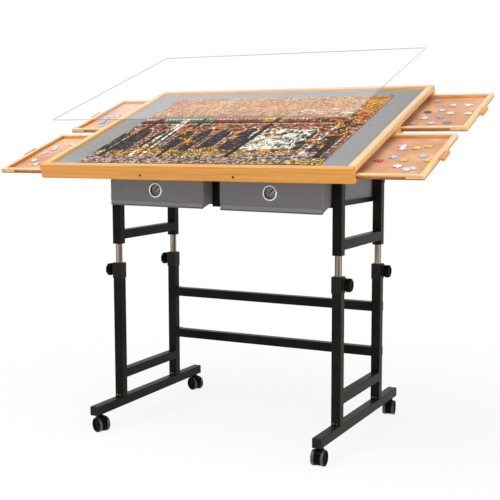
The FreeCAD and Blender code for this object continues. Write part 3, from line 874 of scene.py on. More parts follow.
@dataclass(frozen=True)
class Tyre(Finish):
    """The grey tread of a caster wheel, scuffed by the floor."""

    def cook(self) -> Material:
        """Grey with dusty scuffs and a soft shine.

        Returns:
            The material.
        """
        r = Recipe("grey_wheel_tread")
        at = r.place()
        scuff = r.fit(r.noise(at, 240, 4, 0.7), 0.45, 0.8)
        grain = r.noise(at, 2200, 2, 0.6)
        base = r.mix(scuff, "#3f403b", "#62635b")
        rough = 0.32 + scuff * 0.22
        return r.shade(Base_Color=base, Roughness=rough, Normal=r.bump(grain, 0.00005, 0.6))


@dataclass(frozen=True)
class BrightMetal(Finish):
    """Plated metal with streaks along it: lines that drawing and polishing leave, and on a tube dark and
    light stripes along it that are painted reflections in its colour.
    """

    name: str = "plated_tube"
    tone: str = "#aea28e"
    dark: str = "#4f483e"
    gloss: float = 0.24
    lines: Triple = (260.0, 260.0, 3.0)
    contrast: float = 0.5

    def cook(self) -> Material:
        """A metal with streaks along it, partly painted reflection stripes.

        Returns:
            The material.
        """
        r = Recipe(self.name)
        drawn = r.noise(r.place(stretch=self.lines), 1, 2, 0.6)
        fine = r.noise(r.place(stretch=tuple(n * 5 for n in self.lines)), 1, 2, 0.6)
        cloud = r.noise(r.place(), 40, 3, 0.6)
        spread = 0.24 - 0.2 * self.contrast
        # The dark and light streaks along a tube are painted reflection stripes as well as drawing lines;
        # with even stretches they are only a mottle of the plating.
        base = r.mix(r.fit(drawn, 0.5 - spread - 0.02, 0.5 + spread), self.dark, self.tone)
        rough = self.gloss + (fine - 0.5) * 0.16 + (cloud - 0.5) * 0.1
        return r.shade(Base_Color=base, Metallic=1.0, Roughness=rough, Normal=r.bump(fine, 0.00002, 0.6))


@dataclass(frozen=True)
class Pine(Finish):
    """Clear-varnished pine, with growth rings through the whole board."""

    grain: Grain = Grain.ACROSS
    light: str = "#efb26c"
    dark: str = "#c47a35"
    heart: tuple[float, float] = (0.03, -0.05)
    seed: float = 0.0
    spacing: float = 0.0042
    figure: float = 1.0

    def cook(self) -> Material:
        """Rings about the tree's heart, drawn out along the fibres, with fine pores.

        Returns:
            The material.
        """
        r = Recipe(f"varnished_pine_{self.grain.name.lower()}_{len(_SHELF)}")
        x, s, n = r.split(r.flat())
        along, across = (x, s) if self.grain is Grain.ACROSS else (s, x)
        along, across = along + self.seed * 1.7, across - self.heart[0]
        depth = n - self.heart[1]
        slow = r.noise(r.join(along * 1.4, across * 4.0, depth * 4.0 + self.seed), 1, 2, 0.55)
        wander = r.noise(r.join(along * 4.0, across * 26.0, depth * 26.0 + self.seed), 1, 2, 0.5)
        radius = r.maths("SQRT", across * across + depth * depth)
        radius = radius + (slow - 0.5) * (0.034 * self.figure) + (wander - 0.5) * 0.004
        ring = r.maths("FRACT", radius / self.spacing)
        late = r.fit(ring, 0.3, 0.93) * r.fit(ring, 0.93, 1.0, 1.0, 0.0)
        fibre = r.noise(r.join(along * 28.0, across * 900.0, depth * 900.0), 1, 3, 0.65)
        streak = r.noise(r.join(along * 5.0, across * 190.0, depth * 190.0 + self.seed), 1, 3, 0.6)
        pores = r.fit(r.noise(r.join(along * 70.0, across * 1700.0, depth * 1700.0), 1, 1), 0.64, 0.78)
        tone = r.noise(r.join(along * 2.2, across * 9.0, depth * 9.0 + self.seed), 1, 2, 0.5)
        base = r.mix(late * (0.04 + 0.46 * self.figure), self.light, self.dark)
        base = r.mix(r.fit(streak, 0.46, 0.7) * (0.3 + 0.3 * self.figure), base, self.dark)
        base = r.mix(pores * 0.35, base, "#8f5320")
        base = r.tint(base, 0.82 + tone * 0.24 + fibre * 0.14)
        rough = 0.42 - late * 0.06 + (fibre - 0.5) * 0.2
        height = fibre * 0.6 + late * 0.4 - pores * 0.5
        return r.shade(
            Base_Color=base, Roughness=rough, Specular_IOR_Level=0.25, Coat_Weight=0.08, Coat_Roughness=0.25,
            Normal=r.bump(height, 0.00009, 0.55),
        )


@dataclass(frozen=True)
class Hardboard(Finish):
    """Smooth tan fibreboard, pressed from fine fibres."""

    tone: str = "#e0b28e"
    deep: str = "#c48a63"

    def cook(self) -> Material:
        """Tan with fine specks and soft clouds.

        Returns:
            The material.
        """
        r = Recipe(f"tan_fibreboard_{len(_SHELF)}")
        at = r.flat()
        cloud = r.noise(at, 7, 3, 0.6)
        speck = r.noise(at, 700, 3, 0.7)
        hair = r.noise(r.remap(at, (120, 900, 900)), 1, 2, 0.6)
        base = r.mix(r.fit(cloud, 0.36, 0.66), self.tone, self.deep)
        base = r.mix(r.fit(speck, 0.54, 0.7) * 0.45, base, "#b57c52")
        base = r.mix(r.fit(hair, 0.62, 0.8) * 0.3, base, "#f0cdb2")
        rough = 0.55 + (speck - 0.5) * 0.2
        return r.shade(Base_Color=base, Roughness=rough, Normal=r.bump(speck, 0.00005, 0.5))


@dataclass(frozen=True)
class Felt(Finish):
    """Pressed grey felt with its tangled fibres."""

    def cook(self) -> Material:
        """Grey fibres of several tones, very matt.

        Returns:
            The material.
        """
        r = Recipe("grey_felt")
        at = r.flat()
        tangle = r.noise(at, 520, 4, 0.8, 1.5)
        fluff = r.noise(at, 160, 4, 0.7, 0.8)
        cloud = r.noise(at, 6, 3, 0.6)
        base = r.mix(r.fit(tangle, 0.34, 0.66), "#7b7c7c", "#a6a7a7")
        base = r.mix(r.fit(fluff, 0.52, 0.7) * 0.35, base, "#76777a")
        base = r.tint(base, 0.93 + cloud * 0.14)
        height = tangle * 0.6 + fluff * 0.4
        return r.shade(
            Base_Color=base, Roughness=0.95, Specular_IOR_Level=0.2, Sheen_Weight=0.1, Sheen_Roughness=0.6,
            Normal=r.bump(height, 0.0004, 0.7),
        )


@dataclass(frozen=True)
class Canvas(Finish):
    """Grey woven polyester, read from the piece's own cloth coordinates in metres."""

    tone: str = "#8a8c90"
    pitch: float = 0.0009

    def cook(self) -> Material:
        """A plain weave of slightly uneven yarns.

        Returns:
            The material.
        """
        r = Recipe(f"grey_canvas_{len(_SHELF)}")
        at = r.place(source="UV")
        u, v, _ = r.split(at)
        drift = r.noise(at, 90, 2) - 0.5
        warp = r.maths("SINE", (u + drift * 0.0004) * (math.tau / self.pitch)) * 0.5 + 0.5
        weft = r.maths("SINE", (v + drift * 0.0004) * (math.tau / self.pitch)) * 0.5 + 0.5
        over = r.maths("SINE", (u + v) * (math.pi / self.pitch)) > 0.0
        weave = warp * over + weft * (1 - over)
        thick, thin = (r.noise(r.remap(at, stretch), 1, 2) for stretch in ((30, 1400, 1), (1400, 30, 1)))
        slub = thick * 0.5 + thin * 0.5
        cloud = r.noise(at, 16, 3, 0.6)
        base = r.mix(r.fit(weave, 0.1, 0.9), tuple(c * 0.68 for c in paint(self.tone)), self.tone)
        base = r.mix(r.fit(slub, 0.55, 0.68) * 0.4, base, tuple(c * 1.5 for c in paint(self.tone)))
        base = r.tint(base, 0.9 + cloud * 0.2)
        return r.shade(
            Base_Color=base, Roughness=0.85, Specular_IOR_Level=0.25, Sheen_Weight=0.08, Sheen_Roughness=0.5,
            Normal=r.bump(weave, 0.00025, 0.4),
        )


@dataclass(frozen=True)
class Card(Finish):
    """Printed jigsaw card in one mottled colour."""

    tone: str = "#8f9aa5"

    def cook(self) -> Material:
        """A printed tone with blotches and a faint linen press.

        Returns:
            The material.
        """
        r = Recipe(f"printed_card_{self.tone[1:]}")
        at = r.place()
        blotch = r.noise(at, 210, 3, 0.6)
        linen = r.noise(at, 2400, 1)
        light = tuple(min(1.0, c * 1.25 + 0.02) for c in paint(self.tone))
        deep = tuple(c * 0.4 for c in paint(self.tone))
        base = r.mix(r.fit(blotch, 0.5, 0.68), self.tone, light)
        base = r.mix(r.fit(blotch, 0.45, 0.3), base, deep)
        return r.shade(Base_Color=base, Roughness=0.38 + linen * 0.15, Normal=r.bump(linen, 0.00006, 0.5))


@dataclass(frozen=True)
class Picture(Finish):
    """A made-up print of a train crossing a brick viaduct in an autumn wood."""

    left: float = -0.343
    front: float = 0.040
    width: float = 0.686
    height: float = 0.550

    def cook(self) -> Material:
        """The wood, the viaduct, the train, the bank and the near trees, one over the other.

        Returns:
            The material.
        """
        r = Recipe("autumn_railway_print")
        at = r.flat()
        x, s, _ = r.split(at)
        u = (x - self.left) / self.width
        v = (s - self.front) / self.height
        wx, wy, _ = r.split(r.noise(at, 45, 3, 0.6, 0.0, "Color"))
        loose = (u + (wx - 0.5) * 0.05, v + (wy - 0.5) * 0.06)
        leaf, fleck, _ = r.cells(at, 170)
        crumb, _, _ = r.cells(at, 360)
        near = r.fit(v, 0.55, 0.82)
        picture = self.wood(r, u, v, leaf, crumb)
        picture = self.viaduct(r, at, u, v, crumb, picture)
        picture = self.train(r, at, u, v, picture)
        picture = self.weir(r, u, v, wx, crumb, picture)
        picture = self.bank(r, loose, leaf, crumb, picture)
        picture = self.trees(r, at, u, v, leaf, fleck, picture)
        grit = r.noise(at, 520, 3, 0.75)
        cloud = r.noise(at, 14, 3, 0.6)
        marks = r.noise(at, 80, 3, 0.7)
        depth = r.fit(marks, 0.38, 0.58, 0.25, 1.3) * (1 - near) + near
        picture = r.tint(picture, (0.3 + grit * 1.4) * (0.6 + cloud * 0.8) * depth)
        haze = r.mix(r.fit(marks, 0.3, 0.7), "#b06a30", "#dfae6e")
        picture = r.mix(near * 0.3, picture, haze)
        linen = r.noise(at, 2200, 1)
        return r.shade(
            Base_Color=picture, Roughness=0.5 + linen * 0.12, Specular_IOR_Level=0.12,
            Normal=r.bump(linen, 0.00005, 0.5),
        )

    @staticmethod
    def patch(u: Signal, v: Signal, left: float, right: float, low: float, high: float) -> Signal:
        """1 inside a rectangle of the print, else 0."""
        return (u > left) * (u < right) * (v > low) * (v < high)

    @staticmethod
    def leaves(r: Recipe, leaf: Signal, mood: Signal) -> Signal:
        """Turning leaves, from gold in one mood to rust in the other.

        Args:
            r: the recipe.
            leaf: one value for each leaf.
            mood: 0 for gold, 1 for rust.

        Returns:
            Their colours.
        """
        gold = r.stepped(leaf, [
            (0.0, "#e9b52f"), (0.2, "#d98a1f"), (0.38, "#f6da7c"), (0.5, "#b8611a"),
            (0.62, "#7b6a1c"), (0.74, "#e2a040"), (0.86, "#3a1c0d"),
        ])
        rust = r.stepped(leaf, [
            (0.0, "#c94f18"), (0.22, "#8f2f16"), (0.4, "#e87c22"), (0.55, "#4f170f"),
            (0.68, "#d99a3a"), (0.8, "#2c130c"), (0.9, "#f4d08a"),
        ])
        return r.mix(mood, gold, rust)

    @classmethod
    def wood(cls, r: Recipe, u: Signal, v: Signal, leaf: Signal, crumb: Signal) -> Signal:
        """Trees in turning leaf, with dark stems between them.

        Args:
            r: the recipe.
            u: from 0 to 1 across the print.
            v: from 0 to 1 up the print.
            leaf: one value for each leaf.
            crumb: one value for each small fleck.

        Returns:
            Its colours over the whole print.
        """
        crowns = r.noise(r.join(u * 9.0, v * 5.0, 2.0), 1, 3, 0.6)
        picture = cls.leaves(r, leaf, r.fit(crowns, 0.44, 0.56))
        shade = r.noise(r.join(u * 30.0, v * 18.0, 5.0), 1, 3, 0.65)
        hollows = r.mix(crumb, "#2a150c", "#6b3a1a")
        picture = r.mix(r.fit(shade, 0.52, 0.66) * 0.75, picture, hollows)
        stems = r.noise(r.join(u * 95.0, v * 5.0, 9.0), 1, 2, 0.5)
        return r.mix((stems > 0.63) * (v < 0.86), picture, "#241610")

    @staticmethod
    def viaduct(r: Recipe, at: Signal, u: Signal, v: Signal, crumb: Signal, picture: Signal) -> Signal:
        """A brick viaduct with dark arches, uneven piers and blue water below.

        Args:
            r: the recipe.
            at: coordinates on the tabletop.
            u: from 0 to 1 across the print.
            v: from 0 to 1 up the print.
            crumb: one value for each small fleck.
            picture: what lies behind it.

        Returns:
            The picture with the viaduct.
        """
        _, brick, _ = r.cells(r.remap(at, (0.5, 1.3, 1.0)), 240)
        bricks = r.stepped(brick, [
            (0.0, "#8c3426"), (0.25, "#a9502f"), (0.42, "#5c221a"), (0.58, "#b9785a"),
            (0.72, "#dcc3a0"), (0.84, "#2b1410"),
        ])
        picture = r.mix(v < 0.56, picture, bricks)
        bay = r.maths("ABSOLUTE", r.maths("FRACT", u * 11.0 + r.maths("SINE", u * 17.0) * 0.16 + 0.3) - 0.5)
        crown = v + bay * bay * 0.6
        arch = (bay < 0.37) * (crown < 0.49)
        ripple = r.noise(r.join(u * 40.0, v * 150.0, 0.0), 1, 3, 0.6)
        water = r.stepped(ripple, [
            (0.0, "#0f1213"), (0.42, "#23404a"), (0.47, "#2a1710"), (0.52, "#0d0c0b"),
            (0.57, "#7b4524"), (0.61, "#3c8496"), (0.66, "#d9b884"),
        ])
        picture = r.mix(arch, picture, water)
        keystone = (bay < 0.41) * (crown < 0.51) * (1 - arch)
        picture = r.mix(keystone * (crumb > 0.35), picture, "#e3d3b2")
        return r.mix((v > 0.55) * (v < 0.575), picture, r.mix(crumb, "#d8c6a6", "#5d4a3e"))

    @classmethod
    def train(cls, r: Recipe, at: Signal, u: Signal, v: Signal, picture: Signal) -> Signal:
        """Carriages in maroon, teal and green behind a black engine and its steam.

        Args:
            r: the recipe.
            at: coordinates on the tabletop.
            u: from 0 to 1 across the print.
            v: from 0 to 1 up the print.
            picture: what lies behind it.

        Returns:
            The picture with the train.
        """
        place = u * 9.0
        number = r.maths("FRACT", r.maths("FLOOR", place) * 0.381)
        livery = r.stepped(number, [
            (0.0, "#8c1730"), (0.3, "#12626c"), (0.5, "#93281f"), (0.72, "#1f6a44"),
            (0.88, "#c08a2a"),
        ])
        gap = r.maths("ABSOLUTE", r.maths("FRACT", place) - 0.5) > 0.46
        body = cls.patch(u, v, 0.0, 0.78, 0.592, 0.672)
        picture = r.mix(body * (1 - gap), picture, livery)
        panes = (r.maths("FRACT", u * 63.0) > 0.42) * cls.patch(u, v, 0.0, 0.78, 0.628, 0.658)
        picture = r.mix(panes * (1 - gap), picture, "#f1e2b8")
        picture = r.mix(cls.patch(u, v, 0.0, 0.78, 0.672, 0.686), picture, "#3d3734")
        picture = r.mix(cls.patch(u, v, 0.0, 0.93, 0.572, 0.592), picture, "#15110f")
        picture = r.mix(cls.patch(u, v, 0.79, 0.93, 0.592, 0.655), picture, "#191a1c")
        picture = r.mix(cls.patch(u, v, 0.79, 0.825, 0.655, 0.70), picture, "#8c1730")
        picture = r.mix(cls.patch(u, v, 0.895, 0.912, 0.655, 0.71), picture, "#101010")
        puff = r.noise(at, 40, 4, 0.65)
        drift = cls.patch(u, v, 0.66, 0.93, 0.71, 0.80)
        return r.mix(drift * r.fit(puff, 0.48, 0.6), picture, "#efe4d0")

    @staticmethod
    def weir(r: Recipe, u: Signal, v: Signal, wave: Signal, crumb: Signal, picture: Signal) -> Signal:
        """White water that falls over dark rocks.

        Args:
            r: the recipe.
            u: from 0 to 1 across the print.
            v: from 0 to 1 up the print.
            wave: a wavering value that bends its banks.
            crumb: one value for each small fleck.
            picture: what lies behind it.

        Returns:
            The picture with the falling water.
        """
        fall = (r.maths("ABSOLUTE", u - 0.71 + (wave - 0.5) * 0.10) < 0.115) * (v > 0.08) * (v < 0.47)
        foam = r.noise(r.join(u * 46.0, v * 11.0, 3.0), 1, 3, 0.62)
        water = r.mix(crumb, "#f6f0e0", "#c8ccc4")
        picture = r.mix(fall, picture, r.mix(crumb, "#2c241f", "#5c4636"))
        return r.mix(fall * (foam > 0.44), picture, water)

    @staticmethod
    def bank(r: Recipe, loose: tuple[Signal, Signal], leaf: Signal, crumb: Signal, picture: Signal) -> Signal:
        """Grass, flowers and a stony path along the river.

        Args:
            r: the recipe.
            loose: wavering places across and up the print.
            leaf: one value for each leaf.
            crumb: one value for each small fleck.
            picture: what lies behind it.

        Returns:
            The picture with the bank.
        """
        u, v = loose
        grass = r.stepped(crumb, [
            (0.0, "#8d7a24"), (0.2, "#c9ac3c"), (0.36, "#4a4218"), (0.5, "#dfbf52"),
            (0.62, "#8a3f22"), (0.74, "#24180f"), (0.84, "#f0e2c2"), (0.92, "#8d1f30"),
        ])
        stones = r.stepped(leaf, [
            (0.0, "#8d7a80"), (0.22, "#b59f9c"), (0.42, "#5d4c52"), (0.62, "#cdb8ac"),
            (0.78, "#33252a"), (0.9, "#a8703c"),
        ])
        shore = 0.18 + (r.noise(r.join(u * 7.0, 11.0, 0.0), 1, 3, 0.65) - 0.5) * 0.34
        picture = r.mix(v < shore, picture, grass)
        bend = r.maths("ABSOLUTE", v - 0.05 - (u - 0.3) * (u - 0.3) * 0.16) < 0.045
        return r.mix(bend, picture, stones)

    @classmethod
    def trees(
        cls, r: Recipe, at: Signal, u: Signal, v: Signal, leaf: Signal, fleck: Signal, picture: Signal
    ) -> Signal:
        """Near trees that hide parts of the viaduct.

        Args:
            r: the recipe.
            at: coordinates on the tabletop.
            u: from 0 to 1 across the print.
            v: from 0 to 1 up the print.
            leaf: one value for each leaf.
            fleck: another value for each leaf.
            picture: what lies behind them.

        Returns:
            The picture with the near trees.
        """
        for centre, lean, girth in (
            (0.05, 0.06, 0.012), (0.315, -0.05, 0.009), (0.60, 0.04, 0.011), (0.955, -0.05, 0.013),
        ):
            stem = (r.maths("ABSOLUTE", u - centre - (v - 0.1) * lean) < girth) * (v > 0.08) * (v < 0.7)
            picture = r.mix(stem, picture, r.mix(fleck, "#1a0f0a", "#4a2e1e"))
        for centre, lean in ((0.185, 0.03), (0.235, -0.04), (0.88, 0.05)):
            birch = (r.maths("ABSOLUTE", u - centre - (v - 0.1) * lean) < 0.007) * (v > 0.1) * (v < 0.66)
            picture = r.mix(birch * (fleck > 0.2), picture, "#ece3cf")
        clumps = r.noise(at, 12, 4, 0.68)
        cover = (clumps > 0.57) * (v > 0.14) * (v < 0.9)
        return r.mix(cover * (fleck > 0.22), picture, cls.leaves(r, leaf, clumps > 0.6))


@dataclass(frozen=True)
class Acrylic(Finish):
    """The clear cover: a faint white haze on its faces, grey along its cut edges."""

    edge: bool = False

    def cook(self) -> Material:
        """See-through plastic with a faintly uneven haze.

        Returns:
            The material.
        """
        r = Recipe("clear_acrylic_edge" if self.edge else "clear_acrylic")
        cloud = r.noise(r.flat(), 5, 2)
        if self.edge:
            return r.shade(Base_Color=r.mix(cloud, "#7d8285", "#979ca0"), Roughness=0.3, Alpha=0.75)
        base = r.mix(cloud, "#e9ecee", "#f8fafb")
        return r.shade(Base_Color=base, Roughness=0.1, Alpha=0.1 + (cloud - 0.5) * 0.03)


BLACK_STEEL = BrightMetal("blackened_steel", "#2a2521", "#141210", 0.4, (400.0, 400.0, 400.0))
KNOB_PLASTIC = Plastic("dull_black_plastic", "#060605", "#0c0c0b", 0.62, 0.06)
ZINC = BrightMetal("zinc_plate", "#8d8d8b", "#5a5a58", 0.34, (400.0, 400.0, 400.0))

# --------------------------------------------------------------------- pieces

REACH = 0.01  # how far a cutter reaches past the piece that it cuts


def clad(piece: Piece, first: Finish, other: Finish, test: Callable[[bpy.types.MeshPolygon], bool]) -> None:
    """Gives a piece two finishes.

    Args:
        piece: the piece.
        first: the finish of most faces.
        other: the finish of the faces that pass the test.
        test: says yes or no to a face.
    """
    for finish in (first, other):
        piece.data.materials.append(finish.make())
    for face in piece.data.polygons:
        face.material_index = int(test(face))


def dress(piece: Piece, finish: Finish | None, body: str, slot: str, *nodes: str) -> None:
    """Gives a finished piece its finish, its body and the nodes that it stands for.

    Args:
        piece: the piece.
        finish: its finish, or None where it has two already.
        body: the body of the frame that it rides on.
        slot: the material slot of the record; not used.
        nodes: the nodes of the frame that it replaces.
    """
    if finish:
        piece.data.materials.append(finish.make())
    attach(piece, body)
    if nodes:
        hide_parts(*nodes)
    LOG.info("%s rides %s", piece.name, body)


@dataclass
class Steelwork:
    """The feet, legs, rails and bolts, which keep the frame's own meshes."""

    coat: PowderCoat = PowderCoat()
    coated: tuple[str, ...] = (
        "foot_left", "foot_right", "lower_frame_left", "lower_frame_right", "upper_stretcher",
        "lower_stretcher", "upper_frame_left", "upper_frame_right", "cross_rails", "bin_rails",
        "centre_hanger", "tilt_bars", "tilt_quadrants",
    )
    moulded: tuple[str, ...] = ("leg_caps", "tube_bushes")
    grained: tuple[str, ...] = ("clamp_collars", "foot_end_caps")
    plated: tuple[str, ...] = ("frame_bolts", "pivot_pins")

    def dress(self) -> None:
        """Paints each node that is shown as it stands."""
        for names, finish in (
            (self.coated, self.coat),
            (self.moulded, Plastic()),
            (self.grained, Plastic("grained_black_plastic", "#1b1b18", "#292925", 0.5)),
            (self.plated, ZINC),
            (("board_screws",), BLACK_STEEL),
            # The plated inner tubes carry painted reflection stripes in their colour.
            (("inner_tubes",), BrightMetal()),
            (("work_panel", "base_panel"), Hardboard()),
            (("centre_rail",), Pine(Grain.ACROSS, seed=7.0)),
            (("drawer_runners",), Pine(Grain.ACROSS, seed=8.0)),
        ):
            for name in names:
                self.coat_node(name, finish)

    @staticmethod
    def coat_node(name: str, finish: Finish) -> None:
        """Gives one node of the frame a finish.

        Args:
            name: the node.
            finish: its finish.
        """
        node = frame["nodes"][name]
        for spot in node.material_slots:
            spot.material = finish.make()
        LOG.info("%s keeps its mesh", name)


@dataclass
class Boards:
    """The four boards round the working face."""

    edge: float = 0.0012
    hole_radius: float = 0.0033
    hole_depth: float = 0.006
    hole_x: float = 0.13125
    hole_n: float = -0.0255

    def build(self) -> None:
        """Makes the boards and drills the front one."""
        # The boards share one pine in different tones; the front rail's darker tones and the paler tones of
        # the rear and side rails are partly painted shade and light, for its upright face and their lit tops.
        for name, finish in (
            ("front_rail", Pine(Grain.ACROSS, "#eba550", "#b76a24", (0.05, -0.05), 1.0, 0.0052, 0.3)),
            ("rear_rail", Pine(Grain.ACROSS, "#f6c98f", "#d08c46", (0.55, -0.06), 2.0)),
            ("left_rail", Pine(Grain.UP, "#f4c48a", "#d3924d", (-0.38, -0.05), 3.0)),
            ("right_rail", Pine(Grain.UP, "#fed3a0", "#dc9d5c", (0.49, -0.04), 4.0)),
        ):
            low, high = Flat.box(name)
            board = Bench.block(f"{name}_board", low, high)
            if name == "front_rail":
                for x in (-self.hole_x, self.hole_x):
                    outside = (x, low.y - REACH, self.hole_n)
                    bottom = (x, low.y + self.hole_depth, self.hole_n)
                    Bench.carve(board, Bench.rod("drill", self.hole_radius, outside, bottom, 24))
            Bench.ease(board, self.edge, 3, 60)
            Bench.close(Flat.lay(board))
            dress(board, finish, "tabletop", "pine", name)


@dataclass
class WorkFelt:
    """The felt glued on the working face, very slightly uneven."""

    cell: float = 0.012
    swell: float = 0.00018
    waves: float = 22.0

    def build(self) -> None:
        """Makes the sheet, lets it undulate and gives it thickness."""
        low, high = Flat.box("felt_mat")
        cells = (round((high.x - low.x) / self.cell), round((high.y - low.y) / self.cell))
        felt = Bench.sheet("felt_sheet", low, high, cells)
        for vertex in felt.data.vertices:
            vertex.co.z += self.swell * noise.noise(vertex.co * self.waves)
        Bench.modify(felt, "SOLIDIFY", thickness=high.z - low.z - self.swell, offset=1.0)
        Bench.close(Flat.lay(felt))
        dress(felt, Felt(), "tabletop", "felt", "felt_mat")


class Jigsaw:
    """The outlines that a die cuts jigsaw pieces to."""

    TAB = ((0.40, 0.0), (0.365, 0.14), (0.44, 0.235), (0.56, 0.235), (0.635, 0.14), (0.60, 0.0))
    PRINTED = 0.3  # faces whose normal points up by more than this carry the print

    @classmethod
    def edge(cls, start: Vector, end: Vector, bulge: float, lean: float) -> list[Vector]:
        """The points of one side of a piece, without its last one.

        Args:
            start: the corner where the side begins.
            end: the corner where it ends.
            bulge: 1 for a tab to the left of the way, -1 for one to the right, 0 for a straight side.
            lean: how far the tab is moved along the side.

        Returns:
            The points.
        """
        run = end - start
        left = Vector((-run.y, run.x))
        points = [start.copy()]
        if bulge:
            points += [start + run * (t + lean) + left * (h * bulge) for t, h in cls.TAB]
        return points


@dataclass
class Puzzle:
    """The finished jigsaw on the felt, cut into its pieces."""

    columns: int = 38
    rows: int = 30
    gap: float = 0.00016
    chamfer: float = 0.0004
    stray: float = 0.06
    lean: float = 0.05
    seed: int = 11

    def build(self) -> None:
        """Cuts the outlines, gives the pieces thickness and eases their upper edges."""
        low, high = Flat.box("puzzle")
        across, up = range(self.columns), range(self.rows)
        across_ends, up_ends = range(self.columns + 1), range(self.rows + 1)
        wide, tall = (high.x - low.x) / self.columns, (high.y - low.y) / self.rows
        chance = random.Random(self.seed)

        def place(step: int, steps: int, size: float) -> float:
            """Where a line of the die crosses, a little astray inside the puzzle."""
            return size * step + (chance.uniform(-self.stray, self.stray) * size if 0 < step < steps else 0)

        def tab(step: int, steps: int) -> tuple[int, float]:
            """Which way a side bulges, and how far its tab is moved."""
            return chance.choice((-1, 1)) if 0 < step < steps else 0, chance.uniform(-self.lean, self.lean)

        corner = {
            (i, j): Vector((low.x + place(i, self.columns, wide), low.y + place(j, self.rows, tall)))
            for i in across_ends for j in up_ends
        }
        level = {(i, j): tab(j, self.rows) for i in across for j in up_ends}
        upright = {(i, j): tab(i, self.columns) for i in across_ends for j in up}
        points, faces = [], []
        for i in across:
            for j in up:
                outline = self.outline(corner, level, upright, i, j)
                faces.append(list(range(len(points), len(points) + len(outline))))
                points += [(p.x, p.y, low.z) for p in outline]
        piece = Bench.drawn("puzzle_pieces", points, faces=faces)
        with Bench.editing(piece):
            bpy.ops.mesh.select_all(action="SELECT")
            bpy.ops.mesh.extrude_region_move(
                TRANSFORM_OT_translate={"value": (0, 0, high.z - low.z - self.chamfer)}
            )
            bpy.ops.mesh.inset(thickness=self.chamfer, depth=self.chamfer, use_individual=True)
            bpy.ops.mesh.select_all(action="SELECT")
            bpy.ops.mesh.normals_make_consistent(inside=False)
        clad(piece, Card("#7d858c"), Picture(), lambda face: face.normal.z > Jigsaw.PRINTED)
        Flat.lay(piece)
        dress(piece, None, "tabletop", "card", "puzzle")

    def outline(
        self, corner: dict[tuple[int, int], Vector], level: dict[tuple[int, int], tuple[int, float]],
        upright: dict[tuple[int, int], tuple[int, float]], i: int, j: int,
    ) -> list[Vector]:
        """The outline of one piece, with half the die's gap taken off all round.

        Args:
            corner: the corners of all pieces.
            level: the sides between the rows, as bulge and lean.
            upright: the sides between the columns, as bulge and lean.
            i: the piece's column.
            j: the piece's row.

        Returns:
            Its outline, counterclockwise.
        """
        a, b = corner[i, j], corner[i + 1, j]
        c, d = corner[i + 1, j + 1], corner[i, j + 1]
        bottom, top = level[i, j], level[i, j + 1]
        left, right = upright[i, j], upright[i + 1, j]
        loop = Jigsaw.edge(a, b, bottom[0], bottom[1]) + Jigsaw.edge(b, c, right[0], right[1])
        loop += Jigsaw.edge(c, d, -top[0], -top[1]) + Jigsaw.edge(d, a, -left[0], -left[1])
        middle = (a + b + c + d) / 4
        return [p + (middle - p).normalized() * self.gap for p in loop]


@dataclass
class Loose:
    """Loose jigsaw pieces, each with its place on a drawer's floor, its turn and its colour."""

    size: float = 0.0170
    thick: float = 0.002
    chamfer: float = 0.0004
    tip: float = 1.2
    lift: float = 0.00015
    tabs: tuple[tuple[int, int, int, int], ...] = (
        (1, -1, 1, -1), (1, 1, -1, -1), (-1, -1, 1, 1), (1, 1, 1, -1),
    )

    def pattern(self, kind: int) -> Piece:
        """One loose piece, about the origin and lying on it.

        Args:
            kind: which set of tabs it has.

        Returns:
            The piece, without a finish.
        """
        half = self.size / 2
        corners = [Vector(c) for c in ((-half, -half), (half, -half), (half, half), (-half, half))]
        loop = []
        for k, tab in enumerate(self.tabs[kind]):
            loop += Jigsaw.edge(corners[k], corners[(k + 1) % 4], -tab, 0.02 * (k - 1))
        piece = Bench.drawn("loose_piece", [(p.x, p.y, 0) for p in loop], faces=[list(range(len(loop)))])
        with Bench.editing(piece):
            bpy.ops.mesh.select_all(action="SELECT")
            bpy.ops.mesh.extrude_region_move(
                TRANSFORM_OT_translate={"value": (0, 0, self.thick - self.chamfer)}
            )
            bpy.ops.mesh.inset(thickness=self.chamfer, depth=self.chamfer)
        return Bench.close(piece)

    def scatter(self, drawer: str, floor: float, places: Sequence[Place]) -> None:
        """Lays loose pieces on a drawer's floor.

        Args:
            drawer: the drawer's body.
            floor: the height of its floor on the tabletop's frame.
            places: x, s, turn in degrees and colour of each piece.
        """
        up = Flat.FRAME.to_3x3() @ Vector((0, 0, 1))
        tip = Matrix.Rotation(math.radians(self.tip), 4, "X")
        for count, (x, s, turn, tone) in enumerate(places):
            piece = self.pattern(count % len(self.tabs))
            piece.name = piece.data.name = f"loose_piece_{drawer}_{count + 1}"
            spot = Matrix.Translation((x, s, floor + self.lift)) @ Matrix.Rotation(math.radians(turn), 4, "Z")
            Bench.settle(piece, Flat.FRAME @ (spot @ tip))
            clad(piece, Card("#8a9096"), Card(tone), lambda face: face.normal.dot(up) > Jigsaw.PRINTED)
            dress(piece, None, drawer, "card")


